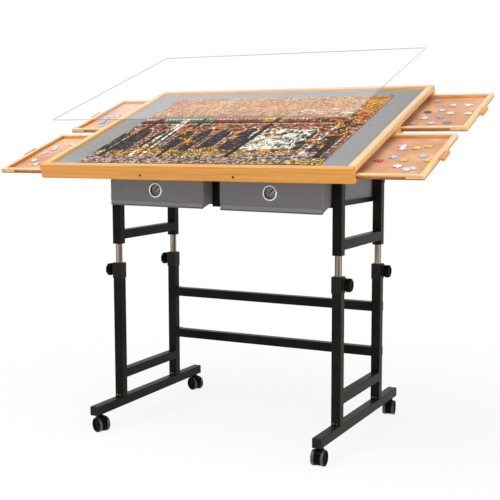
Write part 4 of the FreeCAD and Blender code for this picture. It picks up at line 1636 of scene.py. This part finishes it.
@dataclass
class Drawer:
    """A shallow tray of four boards round a fibreboard floor, grooved to run in the tabletop."""

    end: End
    side: Side
    rim: float = 0.012
    groove: tuple[float, float, float] = (0.001, 0.008, 0.006)
    groove_stop: float = 0.043
    base: float = 0.0018
    base_play: float = 0.0003
    ease: float = 0.0008
    inner_from: float = 0.0085
    top_from: float = 0.0010
    grip: float = 0.0075
    grip_ease: float = 0.0028
    neck_half: tuple[float, float] = (0.024, 0.003)
    neck_stop: float = 0.004
    neck_ease: float = 0.001
    pieces: Sequence[Place] = ()

    @property
    def body(self) -> str:
        """The drawer's body and node."""
        return f"drawer_{self.end.word}_{self.side.word}"

    def build(self) -> None:
        """Makes the tray, its floor, its handle and the loose pieces in it."""
        low, high = Flat.box(self.body)
        seed = 10.0 + self.end.value * 2 + self.side.value
        self.side_boards(low, high, seed)
        self.end_boards(low, high, seed + 0.5)
        self.floor(low, high)
        self.handle(seed + 0.8)
        Loose().scatter(self.body, low.z + self.base, self.pieces)

    def side_boards(self, low: Vector, high: Vector, seed: float) -> None:
        """Makes the two boards with the grooves that run on the tabletop's runners.

        Args:
            low: the drawer's lowest corner.
            high: its highest corner.
            seed: picks the wood's figure.
        """
        x_low, x_high = self.side.span(low.x, high.x, 0.0, self.rim)
        groove_low, groove_high = self.side.span(low.x, high.x, -REACH, self.groove_stop)
        under, over, deep = self.groove
        boards = []
        for edge, out in ((low.y, -1), (high.y, 1)):
            s_low, s_high = sorted((edge, edge - out * self.rim))
            cut_low, cut_high = sorted((edge - out * deep, edge + out * REACH))
            board = Bench.block("side_board", (x_low, s_low, low.z + self.base), (x_high, s_high, high.z))
            Bench.carve(board, Bench.block(
                "groove", (groove_low, cut_low, low.z + under), (groove_high, cut_high, low.z + over)
            ))
            boards.append(Bench.ease(board, self.ease, 2, 60))
        sides = Bench.join(f"{self.body}_side_boards", *boards)
        self.stain(sides, Grain.ACROSS, low, high, seed)
        Bench.close(Flat.lay(sides))
        dress(sides, None, self.body, "pine", self.body)

    def end_boards(self, low: Vector, high: Vector, seed: float) -> None:
        """Makes the outer board, which covers the side boards, and the inner one between them.

        Args:
            low: the drawer's lowest corner.
            high: its highest corner.
            seed: picks the wood's figure.
        """
        boards = []
        for x_low, side in ((low.x, Side.LEFT), (high.x - self.rim, Side.RIGHT)):
            gap = 0.0 if side is self.side else self.rim
            board = Bench.block(
                "end_board", (x_low, low.y + gap, low.z + self.base), (x_low + self.rim, high.y - gap, high.z)
            )
            boards.append(Bench.ease(board, self.ease, 2, 60))
        ends = Bench.join(f"{self.body}_end_boards", *boards)
        self.stain(ends, Grain.UP, low, high, seed)
        Bench.close(Flat.lay(ends))
        dress(ends, None, self.body, "pine")

    def floor(self, low: Vector, high: Vector) -> None:
        """Makes the fibreboard floor, whose cut edges are dark.

        Args:
            low: the drawer's lowest corner.
            high: its highest corner.
        """
        board = Bench.block(
            f"{self.body}_floor", (low.x, low.y + self.base_play, low.z),
            (high.x, high.y - self.base_play, low.z + self.base),
        )
        clad(board, Hardboard(), Hardboard("#6b4029", "#4e2c1b"), lambda face: abs(face.normal.z) < 0.5)
        Bench.close(Flat.lay(board))
        dress(board, None, self.body, "fibreboard")

    def stain(self, boards: Piece, grain: Grain, low: Vector, high: Vector, seed: float) -> None:
        """Gives boards their wood: a paler copy of the pine as painted light outside and on top, and a darker
        copy as painted shade on the inner faces.

        Args:
            boards: the boards, still flat.
            grain: which way their fibres run.
            low: the drawer's lowest corner.
            high: its highest corner.
            seed: picks the wood's figure.
        """
        if grain is Grain.ACROSS:
            axis, heart, shaded = 1, (low.y, -0.06), ("#efbb7c", "#c98a4a")
        else:
            axis, heart, shaded = 0, (low.x, -0.05), ("#dc9d58", "#b57335")

        def inner(face: bpy.types.MeshPolygon) -> bool:
            """Whether a face looks into the drawer.

            Args:
                face: a face of the boards.

            Returns:
                True for a face below the top edge that lies well inside the outer faces.
            """
            spot = face.center
            depth = min(spot[axis] - low[axis], high[axis] - spot[axis])
            upright = abs(face.normal.z) < 0.5 and spot.z < high.z - self.top_from
            return depth > self.inner_from and upright

        # Two copies of one pine: the paler one is painted light on the outer faces and tops, the darker one
        # is painted shade on the inner faces.
        lit_pine = Pine(grain, "#fbd29b", "#d99a58", heart, seed)
        clad(boards, lit_pine, Pine(grain, *shaded, heart, seed), inner)

    def handle(self, seed: float) -> None:
        """Makes the wooden grip on its neck.

        Args:
            seed: picks the wood's figure.
        """
        node = f"drawer_handle_{self.end.word}_{self.side.word}"
        low, high = Flat.box(node)
        _, s, n = (low + high) / 2
        half_width, half_height = self.neck_half
        x_low, x_high = self.side.span(low.x, high.x, high.x - low.x - self.grip, 0.0)
        grip = Bench.block("grip", (x_low, low.y, low.z), (x_high, high.y, high.z))
        Bench.ease(grip, self.grip_ease, 4, 60)
        x_low, x_high = self.side.span(low.x, high.x, 0.0, self.neck_stop)
        neck = Bench.block(
            "neck", (x_low, s - half_width, n - half_height), (x_high, s + half_width, n + half_height)
        )
        Bench.ease(neck, self.neck_ease, 2, 60)
        handle = Bench.join(f"{self.body}_wooden_handle", grip, neck)
        Bench.close(Flat.lay(handle))
        finish = Pine(Grain.UP, "#e3a468", "#bb7638", (low.x, -0.04), seed)
        dress(handle, finish, self.body, "pine", node)


@dataclass
class Cover:
    """The thin clear pane that goes over the puzzle."""

    corner: float = 0.008
    edge: float = 0.0005

    def build(self) -> None:
        """Makes the pane with round corners and eased edges."""
        low, high = Flat.box("cover")
        pane = Bench.block("cover_pane", low, high)
        with Bench.editing(pane, "EDGE"):
            Bench.pick(pane, "EDGE", lambda spot: abs(spot.direction.z) > 0.9)
            bpy.ops.mesh.bevel(offset=self.corner, segments=6, affect="EDGES")
        Bench.ease(pane, self.edge, 2, 60)
        Bench.close(pane)
        clad(pane, Acrylic(), Acrylic(edge=True), lambda face: abs(face.normal.z) <= 0.98)
        Flat.lay(pane)
        dress(pane, None, "cover", "clear_acrylic", "cover")


@dataclass
class FabricBin:
    """A sewn fabric bin that hangs between its rails and sags at the front."""

    side: Side
    floor: float = 0.6247
    wall: float = 0.0022
    round: float = 0.0036
    cell: float = 0.0066
    sag_ends: dict[Side, tuple[float, float]] = field(
        default_factory=lambda: {Side.LEFT: (0.0086, 0.0118), Side.RIGHT: (0.0136, 0.0166)}
    )
    sag_from: float = -0.1635
    hem: float = 0.012
    pucker: float = 0.0008
    bulge_front: float = -0.0010
    bulge_rear: float = 0.0015
    bulge_ends: float = 0.0012
    bulge_floor: float = -0.0012
    near: float = 0.03
    hole_lap: float = 0.0045
    board_gap: float = 0.006
    board_lift: float = 0.0018
    board_thick: float = 0.0024
    ring_width: float = 0.0050
    well: float = 0.0052
    slot_turn: float = -44.0

    @property
    def body(self) -> str:
        """The bin's body and node."""
        return f"bin_{self.side.word}"

    def build(self) -> None:
        """Makes the sagging shell, its bands and seams, and the ring in its front."""
        low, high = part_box(self.body)
        ring_low, ring_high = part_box(f"bin_ring_{self.side.word}")
        centre = (ring_low + ring_high) / 2
        shell = self.tray(low, high)
        self.shape(shell, low, high)
        bands = self.bands(shell, low, high)
        Bench.modify(shell, "SOLIDIFY", thickness=self.wall, offset=-1.0)
        ahead, behind = ((centre.x, low.y + step, centre.z) for step in (-2 * REACH, 2 * REACH))
        hole = Bench.rod("hole", (ring_high.x - ring_low.x) / 2 - self.hole_lap, ahead, behind, 48)
        Bench.carve(shell, hole)
        for piece in (shell, *bands):
            self.map_cloth(piece)
            Bench.close(piece, 50)
        dress(shell, Canvas(), self.body, "grey_fabric", self.body)
        for band, tone in zip(bands, ("#8f9195", "#9b9da1", "#8f9195", "#636568")):
            dress(band, Canvas(tone), self.body, "grey_fabric")
        self.stiffener(low, high)
        self.ring(centre, ring_low, ring_high)

    def sag(self, along: float) -> float:
        """How far the front's lower edge hangs below the floor, from 0 at its left to 1 at its right."""
        left, right = self.sag_ends[self.side]
        return left + (right - left) * min(1.0, max(0.0, along))

    def tray(self, low: Vector, high: Vector) -> Piece:
        """Makes the open tray: a flat floor with its edge drawn up, and sewn corners.

        Args:
            low: the bin's lowest corner.
            high: its highest corner.

        Returns:
            The tray, one sheet thick.
        """
        size, rise = high - low, high.z - self.floor
        cells = (round(size.x / self.cell), round(size.y / self.cell))
        rows = round(rise / self.hem * 2)
        tray = Bench.sheet(
            f"{self.body}_shell", (low.x, low.y, self.floor), (high.x, high.y, self.floor), cells
        )
        with Bench.editing(tray, "EDGE"):
            bpy.ops.mesh.select_all(action="SELECT")
            bpy.ops.mesh.region_to_loop()
            for _ in range(rows):
                bpy.ops.mesh.extrude_edges_move(TRANSFORM_OT_translate={"value": (0, 0, rise / rows)})
            bpy.ops.mesh.select_all(action="SELECT")
            bpy.ops.mesh.normals_make_consistent(inside=False)
        return Bench.ease(tray, self.round, 3, 60)

    def shape(self, shell: Piece, low: Vector, high: Vector) -> None:
        """Lets the walls bulge and pucker and the front sag.

        Args:
            shell: the open shell.
            low: the bin's lowest corner.
            high: its highest corner.
        """
        middle = (low + high) / 2
        for vertex in shell.data.vertices:
            p = vertex.co
            rise = min(1.0, max(0.0, (p.z - self.floor) / (high.z - self.floor)))
            u, v = (p.x - low.x) / (high.x - low.x), (p.y - low.y) / (high.y - low.y)
            swell = math.sin(math.pi * rise)
            seed = Vector((p.x * 16 + self.side.value * 9, p.y * 16, p.z * 30))
            crease = noise.fractal(seed, 0.8, 2.0, 3) * (1 - 0.75 * rise)
            arch_u, arch_v = math.sin(math.pi * u), math.sin(math.pi * v)
            if v < self.near:
                p.y += self.bulge_front * swell * arch_u + self.pucker * crease * 0.5
            elif v > 1 - self.near:
                p.y += self.bulge_rear * swell * arch_u + self.pucker * crease
            if u < self.near or u > 1 - self.near:
                out = math.copysign(self.bulge_ends, p.x - middle.x)
                p.x += out * swell * arch_v + self.pucker * crease
            if rise < 0.02:
                p.z += (self.pucker * crease + self.bulge_floor) * arch_u * arch_v
            ahead = max(0.0, (self.sag_from - p.y) / (self.sag_from - low.y))
            p.z -= self.sag(u) * ahead ** 1.1 * (1 - rise)

    def bands(self, shell: Piece, low: Vector, high: Vector) -> list[Piece]:
        """Binding tape round the rim, along the front's lower edge and down its corners, and piping.

        Args:
            shell: the shaped shell, before it gets its thickness.
            low: the bin's lowest corner.
            high: its highest corner.

        Returns:
            The bands.
        """
        def above(spot: Spot) -> float:
            """How far a face is above the sagging lower edge."""
            return spot.middle.z - self.floor + self.sag((spot.middle.x - low.x) / (high.x - low.x))

        def rim(spot: Spot) -> bool:
            """Whether a face is in the band round the rim."""
            return spot.middle.z > high.z - self.hem

        def foot(spot: Spot) -> bool:
            """Whether a face is in the hem along the front's lower edge."""
            ahead = spot.middle.y < low.y + 0.0012 and spot.direction.y < -0.8
            return ahead and above(spot) < self.hem + 0.001

        def piping(spot: Spot) -> bool:
            """Whether a face is in the piping under that hem."""
            return spot.middle.y < low.y + 0.003 and above(spot) < 0.0050

        def corner(spot: Spot) -> bool:
            """Whether a face is in the seam up a front corner."""
            beside = min(abs(spot.middle.x - low.x), abs(spot.middle.x - high.x)) < 0.0035
            return beside and spot.middle.y < low.y + 0.0035 and above(spot) > self.hem

        found = []
        for word, test, lift in (
            ("rim_band", rim, 0.0009), ("front_hem", foot, 0.0008), ("corner_seam", corner, 0.0007),
            ("front_piping", piping, 0.0010),
        ):
            Bench.take(shell)
            bpy.ops.object.duplicate(linked=False)
            band = bpy.context.object
            band.name = band.data.name = f"{self.body}_{word}"
            with Bench.editing(band):
                Bench.pick(band, "FACE", lambda spot: not test(spot))
                bpy.ops.mesh.delete(type="FACE")
            Bench.modify(band, "SOLIDIFY", thickness=lift, offset=1.0)
            found.append(band)
        return found

    @staticmethod
    def map_cloth(piece: Piece) -> None:
        """Gives a piece cloth coordinates in metres, laid on it from six sides.

        Args:
            piece: the piece.
        """
        with Bench.editing(piece):
            bpy.ops.mesh.select_all(action="SELECT")
            bpy.ops.uv.cube_project(cube_size=1.0, correct_aspect=False, scale_to_bounds=False)

    def stiffener(self, low: Vector, high: Vector) -> None:
        """Lays the covered board on the bin's floor.

        Args:
            low: the bin's lowest corner.
            high: its highest corner.
        """
        under = self.floor + self.wall + self.board_lift
        board = Bench.block(
            f"{self.body}_base_board", (low.x + self.board_gap, self.sag_from, under),
            (high.x - self.board_gap, high.y - self.board_gap, under + self.board_thick),
        )
        Bench.ease(board, 0.001, 2, 60)
        self.map_cloth(board)
        Bench.close(board)
        dress(board, Canvas("#5f6062"), self.body, "grey_fabric")

    def ring(self, centre: Vector, low: Vector, high: Vector) -> None:
        """Makes the bright finger ring, the black sleeve in its well, the dished disc in it and the disc's
        slot, drawn as a black bar of painted shade beside a pale bar of painted highlight.

        Args:
            centre: the ring's middle.
            low: its lowest corner.
            high: its highest corner.
        """
        outer = (high.x - low.x) / 2
        inner = outer - self.ring_width
        depth = high.y - low.y
        profile = [
            (inner, 0.0035), (inner, -depth * 0.4), (inner + 0.0006, -depth * 0.85),
            (inner + 0.0016, -depth), (inner + 0.0036, -depth * 0.9), (outer - 0.0003, -depth * 0.45),
            (outer, 0.0), (outer - 0.0004, 0.0003), (inner + 0.0008, 0.0003), (inner + 0.0008, 0.0035),
            (inner, 0.0035),
        ]
        root = (centre.x, high.y, centre.z)
        rim = Bench.turned(f"{self.body}_bright_ring", profile, root, (0, 1, 0), 64)
        Bench.close(rim, 50)
        metal = BrightMetal("polished_ring", "#f2f2f0", "#d2d2d0", 0.3, (300.0, 300.0, 300.0))
        dress(rim, metal, self.body, "ring_metal", f"bin_ring_{self.side.word}")
        # The well's wall is a black sleeve, painted shade for the shadowed wall of the hole.
        well = [
            (inner - 0.0001, 0.0002), (inner - 0.0001, self.well), (inner - 0.0009, self.well),
            (inner - 0.0009, 0.0006), (inner - 0.0001, 0.0002),
        ]
        shade_sleeve = Bench.close(Bench.turned(f"{self.body}_ring_lining", well, root, (0, 1, 0), 48), 40)
        dress(shade_sleeve, Plastic(), self.body, "grey_fabric")
        dish = [
            (0.0, self.well - 0.0012), (inner * 0.6, self.well - 0.0014),
            (inner - 0.0012, self.well - 0.0022), (inner - 0.0010, self.well), (0.0, self.well + 0.0006),
        ]
        disc = Bench.turned(f"{self.body}_ring_dish", dish, root, (0, 1, 0), 48)
        self.map_cloth(disc)
        Bench.close(disc, 40)
        dress(disc, Plastic("grey_ring_dish", "#838482", "#8f908e", 0.5), self.body, "grey_fabric")
        # The black bar is painted shade in the dish's slit, and the pale bar beside it is a painted highlight
        # along the slit's edge.
        for word, width, shift, tone in (
            ("slit", 0.0026, 0.0, "#080808"), ("lip", 0.0036, -0.0032, "#b4b5b3"),
        ):
            bar = Bench.block(
                f"{self.body}_ring_{word}", (-inner * 0.30, self.well - 0.0036, shift - width / 2),
                (inner * 0.84, self.well - 0.0012, shift + width / 2),
            )
            turn = Matrix.Rotation(math.radians(self.slot_turn), 4, "Y")
            Bench.settle(bar, Matrix.Translation(root) @ turn)
            Bench.close(bar)
            dress(bar, Plastic(f"ring_{word}", tone, tone, 0.5), self.body, "grey_fabric")


@dataclass
class Knob:
    """A scalloped hand knob on a tapering boss."""

    body: str
    side: Side
    head: float
    boss: float = 0.24
    lobes: int = 8
    steps: int = 8

    def build(self) -> None:
        """Turns the knob, scallops its grip and rounds it."""
        low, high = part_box(self.body)
        middle = (low + high) / 2
        radius = (high.z - low.z) / 2
        out = self.side.value
        root = Vector((high.x if out > 0 else low.x, middle.y, middle.z))
        profile = self.profile(radius, high.x - low.x)
        sides = self.lobes * self.steps
        knob = Bench.turned(f"{self.body}_moulded_knob", profile, root, (-out, 0, 0), sides)
        with Bench.editing(knob, "VERT"):
            for step, size in ((0, 0.90), (1, 0.915), (2, 0.955)):
                def valley(spot: Spot, step: int = step) -> bool:
                    """Whether a point lies so many steps from the middle of a valley.

                    Args:
                        spot: a point of the knob.
                        step: the steps from the middle.

                    Returns:
                        True for such a point on the grip.
                    """
                    arm = spot.middle - root
                    reach = math.hypot(arm.y, arm.z)
                    place = round(math.atan2(arm.z, arm.y) / math.tau * sides) % self.steps
                    return reach > radius * 0.8 and place in {step, (self.steps - step) % self.steps}

                Bench.pick(knob, "VERT", valley)
                bpy.ops.transform.resize(value=(1, size, size), center_override=root)
        Bench.close(knob, 50)
        dress(knob, KNOB_PLASTIC, self.body, "black_plastic", self.body)

    def profile(self, radius: float, stem: float) -> list[tuple[float, float]]:
        """The outline that the knob is turned to.

        Args:
            radius: the radius of its grip.
            stem: its whole length along the axis.

        Returns:
            Pairs of radius and distance from its outer face.
        """
        head = self.head
        return [
            (0.0, 0.0016), (radius * 0.34, 0.0014), (radius * 0.40, 0.0002), (radius * 0.52, 0.0),
            (radius * 0.80, 0.0003), (radius * 0.92, 0.0012), (radius * 0.98, 0.0028), (radius, 0.0048),
            (radius, head * 0.86), (radius * 0.96, head * 0.95), (radius * 0.90, head),
            (radius * 0.84, head + 0.0006), (radius * 0.80, head + 0.0016),
            (radius * self.boss, head + 0.0018), (radius * self.boss, stem), (0.0, stem),
        ]


@dataclass
class Caster:
    """A twin-wheel caster: two shells with grey treads either side of a black hood."""

    end: End
    side: Side
    inner: float = 0.005
    outer: float = 0.017
    play: float = 0.0007
    guard_half: float = 0.0085
    hood_low: float = 0.012
    neck_top: float = 0.0466

    @property
    def key(self) -> str:
        """The end and side in the names of the caster's pieces."""
        return f"{self.end.word}_{self.side.word}"

    def hinge(self, name: str) -> tuple[Vector, Vector]:
        """The point and the axis of one of the frame's joints.

        Args:
            name: the joint's name.

        Returns:
            A point on its axis, and the axis.
        """
        for joint in frame["record"]["behaviour"]["joints"]:
            if joint["name"] == name:
                return Vector(joint["pos_m"]), Vector(joint["axis"])
        raise KeyError(name)

    def build(self) -> None:
        """Makes the treads, the hubs, the axle pin and the hood."""
        axle, axis = self.hinge(f"caster_roll_{self.key}")
        stem, _ = self.hinge(f"caster_swivel_{self.key}")
        wheels = f"caster_wheels_{self.key}"
        r, a, b = axle.z, self.inner, self.outer
        treads, discs = [], []
        for out in (-1, 1):
            tread = [
                (r * 0.90, b - 0.0085), (r * 0.985, b - 0.0085), (r, b - 0.0077), (r, b - 0.0024),
                (r * 0.985, b - 0.0014), (r * 0.90, b - 0.0014), (r * 0.90, b - 0.0085),
            ]
            disc = [
                (0.0, b - 0.0020), (r * 0.16, b - 0.0021), (r * 0.19, b - 0.0034), (r * 0.62, b - 0.0040),
                (r * 0.74, b - 0.0030), (r * 0.84, b - 0.0010), (r * 0.90, b), (r * 0.94, b - 0.0002),
                (r * 0.98, b - 0.0013), (r * 0.90, b - 0.0014), (r * 0.90, b - 0.0086),
                (r * 0.955, b - 0.0087), (r * 0.955, a + 0.0006), (r * 0.93, a), (r * 0.60, a),
                (r * 0.30, a + 0.0010), (0.0, a + 0.0010),
            ]
            treads.append(Bench.turned("tread", tread, axle, axis * out, 56))
            discs.append(Bench.turned("disc", disc, axle, axis * out, 56))
        tyre = Bench.close(Bench.join(f"caster_treads_{self.key}", *treads), 45)
        dress(tyre, Tyre(), wheels, "wheel_rubber", wheels)
        half = [(0.0, b - 0.0012), (0.0017, b - 0.0014), (0.0021, b - 0.0022)]
        whole = [(radius, -along) for radius, along in half] + half[::-1]
        pin = Bench.turned(f"caster_axle_{self.key}", whole, axle, axis, 24)
        dress(Bench.close(pin, 40), BLACK_STEEL, wheels, "bright_steel")
        hub = Bench.close(Bench.join(f"caster_hubs_{self.key}", *discs), 40)
        dress(hub, KNOB_PLASTIC, wheels, "black_plastic")
        self.hood(axle, axis, stem)

    def hood(self, axle: Vector, axis: Vector, stem: Vector) -> None:
        """Makes the hood between the wheels, its neck and its flange under the foot.

        Args:
            axle: the middle of the axle.
            axis: the axle's direction.
            stem: a point on the swivel's axis.
        """
        node = f"caster_fork_{self.key}"
        half = self.inner - self.play
        web, cap, guard, channel = (
            Bench.rod(word, axle.z + more, axle - axis * reach, axle + axis * reach, 56)
            for word, more, reach in (
                ("web", -0.0012, half), ("cap", 0.0022, half), ("guard", 0.0034, self.guard_half),
                ("channel", 0.0010, 2 * REACH),
            )
        )
        Bench.carve(guard, channel)
        room = Vector((4 * REACH, 4 * REACH, 0))
        for part in (cap, guard):
            low, high = axle - room, axle + room
            low.z, high.z = axle.z - 4 * REACH, axle.z + self.hood_low
            Bench.carve(part, Bench.block("below", low, high))
        for part in (web, guard):
            Bench.ease(part, 0.0008, 2, 60)
        top = self.neck_top
        neck = Bench.turned(
            "neck",
            [(0.0, top - 0.0186), (0.0043, top - 0.0186), (0.0046, top - 0.0086), (0.0076, top - 0.0054),
             (0.0080, top - 0.0046), (0.0080, top - 0.0028), (0.0092, top - 0.0022), (0.0095, top - 0.0016),
             (0.0095, top), (0.0090, top + 0.0004), (0.0, top + 0.0004)],
            (stem.x, stem.y, 0), (0, 0, 1), 40,
        )
        hood = Bench.join(f"caster_hood_{self.key}", web, cap, guard, neck)
        dress(Bench.close(hood, 45), KNOB_PLASTIC, node, "black_plastic", node)


# ---------------------------------------------------------------------- stage


@dataclass
class Studio:
    """The pale floor, the soft lamps and the camera."""

    lens: float = 73.047
    sensor: float = 36.0
    place: Triple = (1.25653, -2.48774, 0.80170)
    yaw: float = 26.7068
    pitch: float = 6.4543
    roll: float = -0.1180

    def build(self) -> None:
        """Sets up everything round the table."""
        self.world()
        self.floor()
        self.lamps()
        self.camera()
        bpy.context.scene.view_settings.view_transform = "Standard"

    def world(self) -> None:
        """White to the eye and in reflections, a little softer as light."""
        r = Recipe("soft_room", world=True)
        soft = r.node("ShaderNodeBackground", {}, {"Color": (0.98, 0.99, 1.0), "Strength": 0.54})
        white = r.node("ShaderNodeBackground", {}, {"Color": (1, 1, 1), "Strength": 1.0})
        room = r.node("ShaderNodeMixShader", {}, {0: r.direct(), 1: soft, 2: white})
        bpy.context.scene.world = r.end(room)

    def floor(self) -> None:
        """A white floor that keeps a faint shadow near the table."""
        floor = Bench.sheet("floor", (-14, -14, 0), (14, 14, 0), (4, 4))
        r = Recipe("white_floor")
        x, y, _ = r.split(r.place())
        away = r.fit(r.maths("SQRT", x * x + y * y), 0.5, 1.6, 0.86, 1.0)
        glow = r.node("ShaderNodeEmission", {}, {"Color": (1, 1, 1), "Strength": 1.0})
        matt = r.node("ShaderNodeBsdfDiffuse", {}, {"Color": (0.93, 0.93, 0.93)})
        mixed = r.node("ShaderNodeMixShader", {}, {0: r.direct() * away, 1: matt, 2: glow})
        floor.data.materials.append(r.end(mixed))

    def lamps(self) -> None:
        """One broad lamp overhead in front and a weaker one to the side."""
        for name, spot, aim, size, watts in (
            ("overhead", (-0.6, -1.2, 3.3), (0, 0, 0.6), 2.6, 74),
            ("side", (3.2, -1.2, 1.9), (0, 0, 0.6), 2.2, 32),
        ):
            lamp = bpy.data.lights.new(name, "AREA")
            lamp.shape, lamp.size, lamp.energy = "DISK", size, watts
            holder = bpy.data.objects.new(name, lamp)
            holder.location = spot
            holder.rotation_euler = (Vector(aim) - Vector(spot)).to_track_quat("-Z", "Y").to_euler()
            bpy.context.scene.collection.objects.link(holder)

    def camera(self) -> None:
        """The camera, at its place and direction."""
        yaw, pitch, roll = (math.radians(a) for a in (self.yaw, self.pitch, self.roll))
        ahead = Vector((-math.sin(yaw) * math.cos(pitch), math.cos(yaw) * math.cos(pitch), -math.sin(pitch)))
        right = Vector((math.cos(yaw), math.sin(yaw), 0))
        up = right.cross(ahead)
        cos, sin = math.cos(roll), math.sin(roll)
        right, up = right * cos + up * sin, up * cos - right * sin
        lens = bpy.data.cameras.new("camera")
        lens.lens, lens.sensor_width = self.lens, self.sensor
        holder = bpy.data.objects.new("camera", lens)
        turn = Matrix((right, up, -ahead)).transposed().to_4x4()
        holder.matrix_world = Matrix.Translation(self.place) @ turn
        bpy.context.scene.collection.objects.link(holder)
        bpy.context.scene.camera = holder


# ----------------------------------------------------------------------- main


def corners(box: tuple[Vector, Vector]) -> list[list[float]]:
    """A box's two corners as plain lists."""
    return [[float(c) for c in corner] for corner in box]


def main() -> None:
    """Builds and dresses every piece in order."""
    logging.basicConfig(level=logging.INFO, format="%(message)s")
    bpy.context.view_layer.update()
    Studio().build()
    Steelwork().dress()
    Boards().build()
    WorkFelt().build()
    Puzzle().build()
    for end in End:
        for side in Side:
            Drawer(end, side, pieces=LOOSE[end, side]).build()
            Knob(f"clamp_knob_{end.word}_{side.word}", side, 0.014).build()
            Caster(end, side).build()
    for side in Side:
        FabricBin(side).build()
        Knob(f"tilt_knob_{side.word}", side, 0.015).build()
    Cover().build()
    Bench.clear()


LOOSE: dict[tuple[End, Side], list[Place]] = {
    (End.FRONT, Side.RIGHT): [
        (0.4519, 0.1318, 79, "#c23a30"),
        (0.4792, 0.2350, 32, "#dcdfe6"),
        (0.4855, 0.2149, 45, "#d4d9e0"),
        (0.5184, 0.2210, 88, "#d8c15c"),
        (0.5447, 0.2320, 83, "#cdbb4e"),
        (0.4792, 0.1571, 67, "#b0bfd4"),
        (0.5134, 0.1375, 3, "#dcb845"),
        (0.5095, 0.0973, 59, "#e0e2e6"),
        (0.5374, 0.0768, 31, "#d3d8e0"),
        (0.5482, 0.0837, 83, "#c4cbd6"),
        (0.5521, 0.1656, 6, "#b9c3cc"),
        (0.5679, 0.1402, 20, "#d3c34a"),
    ],
    (End.REAR, Side.RIGHT): [
        (0.4622, 0.6021, 14, "#8fa3a6"),
        (0.5141, 0.5633, 47, "#c6cfdb"),
        (0.5577, 0.5611, 60, "#e9ebf0"),
        (0.4961, 0.5203, 31, "#b4c6d2"),
        (0.4628, 0.5044, 48, "#3b3c46"),
        (0.4670, 0.4533, 69, "#cfd2d8"),
        (0.5276, 0.4933, 13, "#f0d9d6"),
        (0.5749, 0.4882, 73, "#e8dfa6"),
        (0.5091, 0.4603, 31, "#6a9cc8"),
        (0.4499, 0.4124, 1, "#93a9c0"),
        (0.5005, 0.4113, 27, "#c0bfcd"),
        (0.5386, 0.4144, 52, "#5f8488"),
    ],
    (End.FRONT, Side.LEFT): [
        (-0.5468, 0.2175, 35, "#d2d7e0"),
        (-0.5434, 0.2005, 23, "#c4cbd8"),
        (-0.5489, 0.1668, 49, "#bcc5d4"),
        (-0.5450, 0.1096, 20, "#d9dce2"),
        (-0.5150, 0.0786, 9, "#ced4de"),
        (-0.5089, 0.2436, 17, "#c3cfe8"),
    ],
    (End.REAR, Side.LEFT): [
        (-0.5478, 0.4800, 79, "#8fc3d8"),
        (-0.5440, 0.5020, 40, "#c4d0d6"),
        (-0.5305, 0.4349, 56, "#9aa6bf"),
        (-0.5212, 0.5031, 16, "#b9c8d4"),
        (-0.5391, 0.4570, 16, "#b3bec9"),
        (-0.5192, 0.4099, 0, "#c3cad4"),
    ],
}


if __name__ == "__main__":
    main()
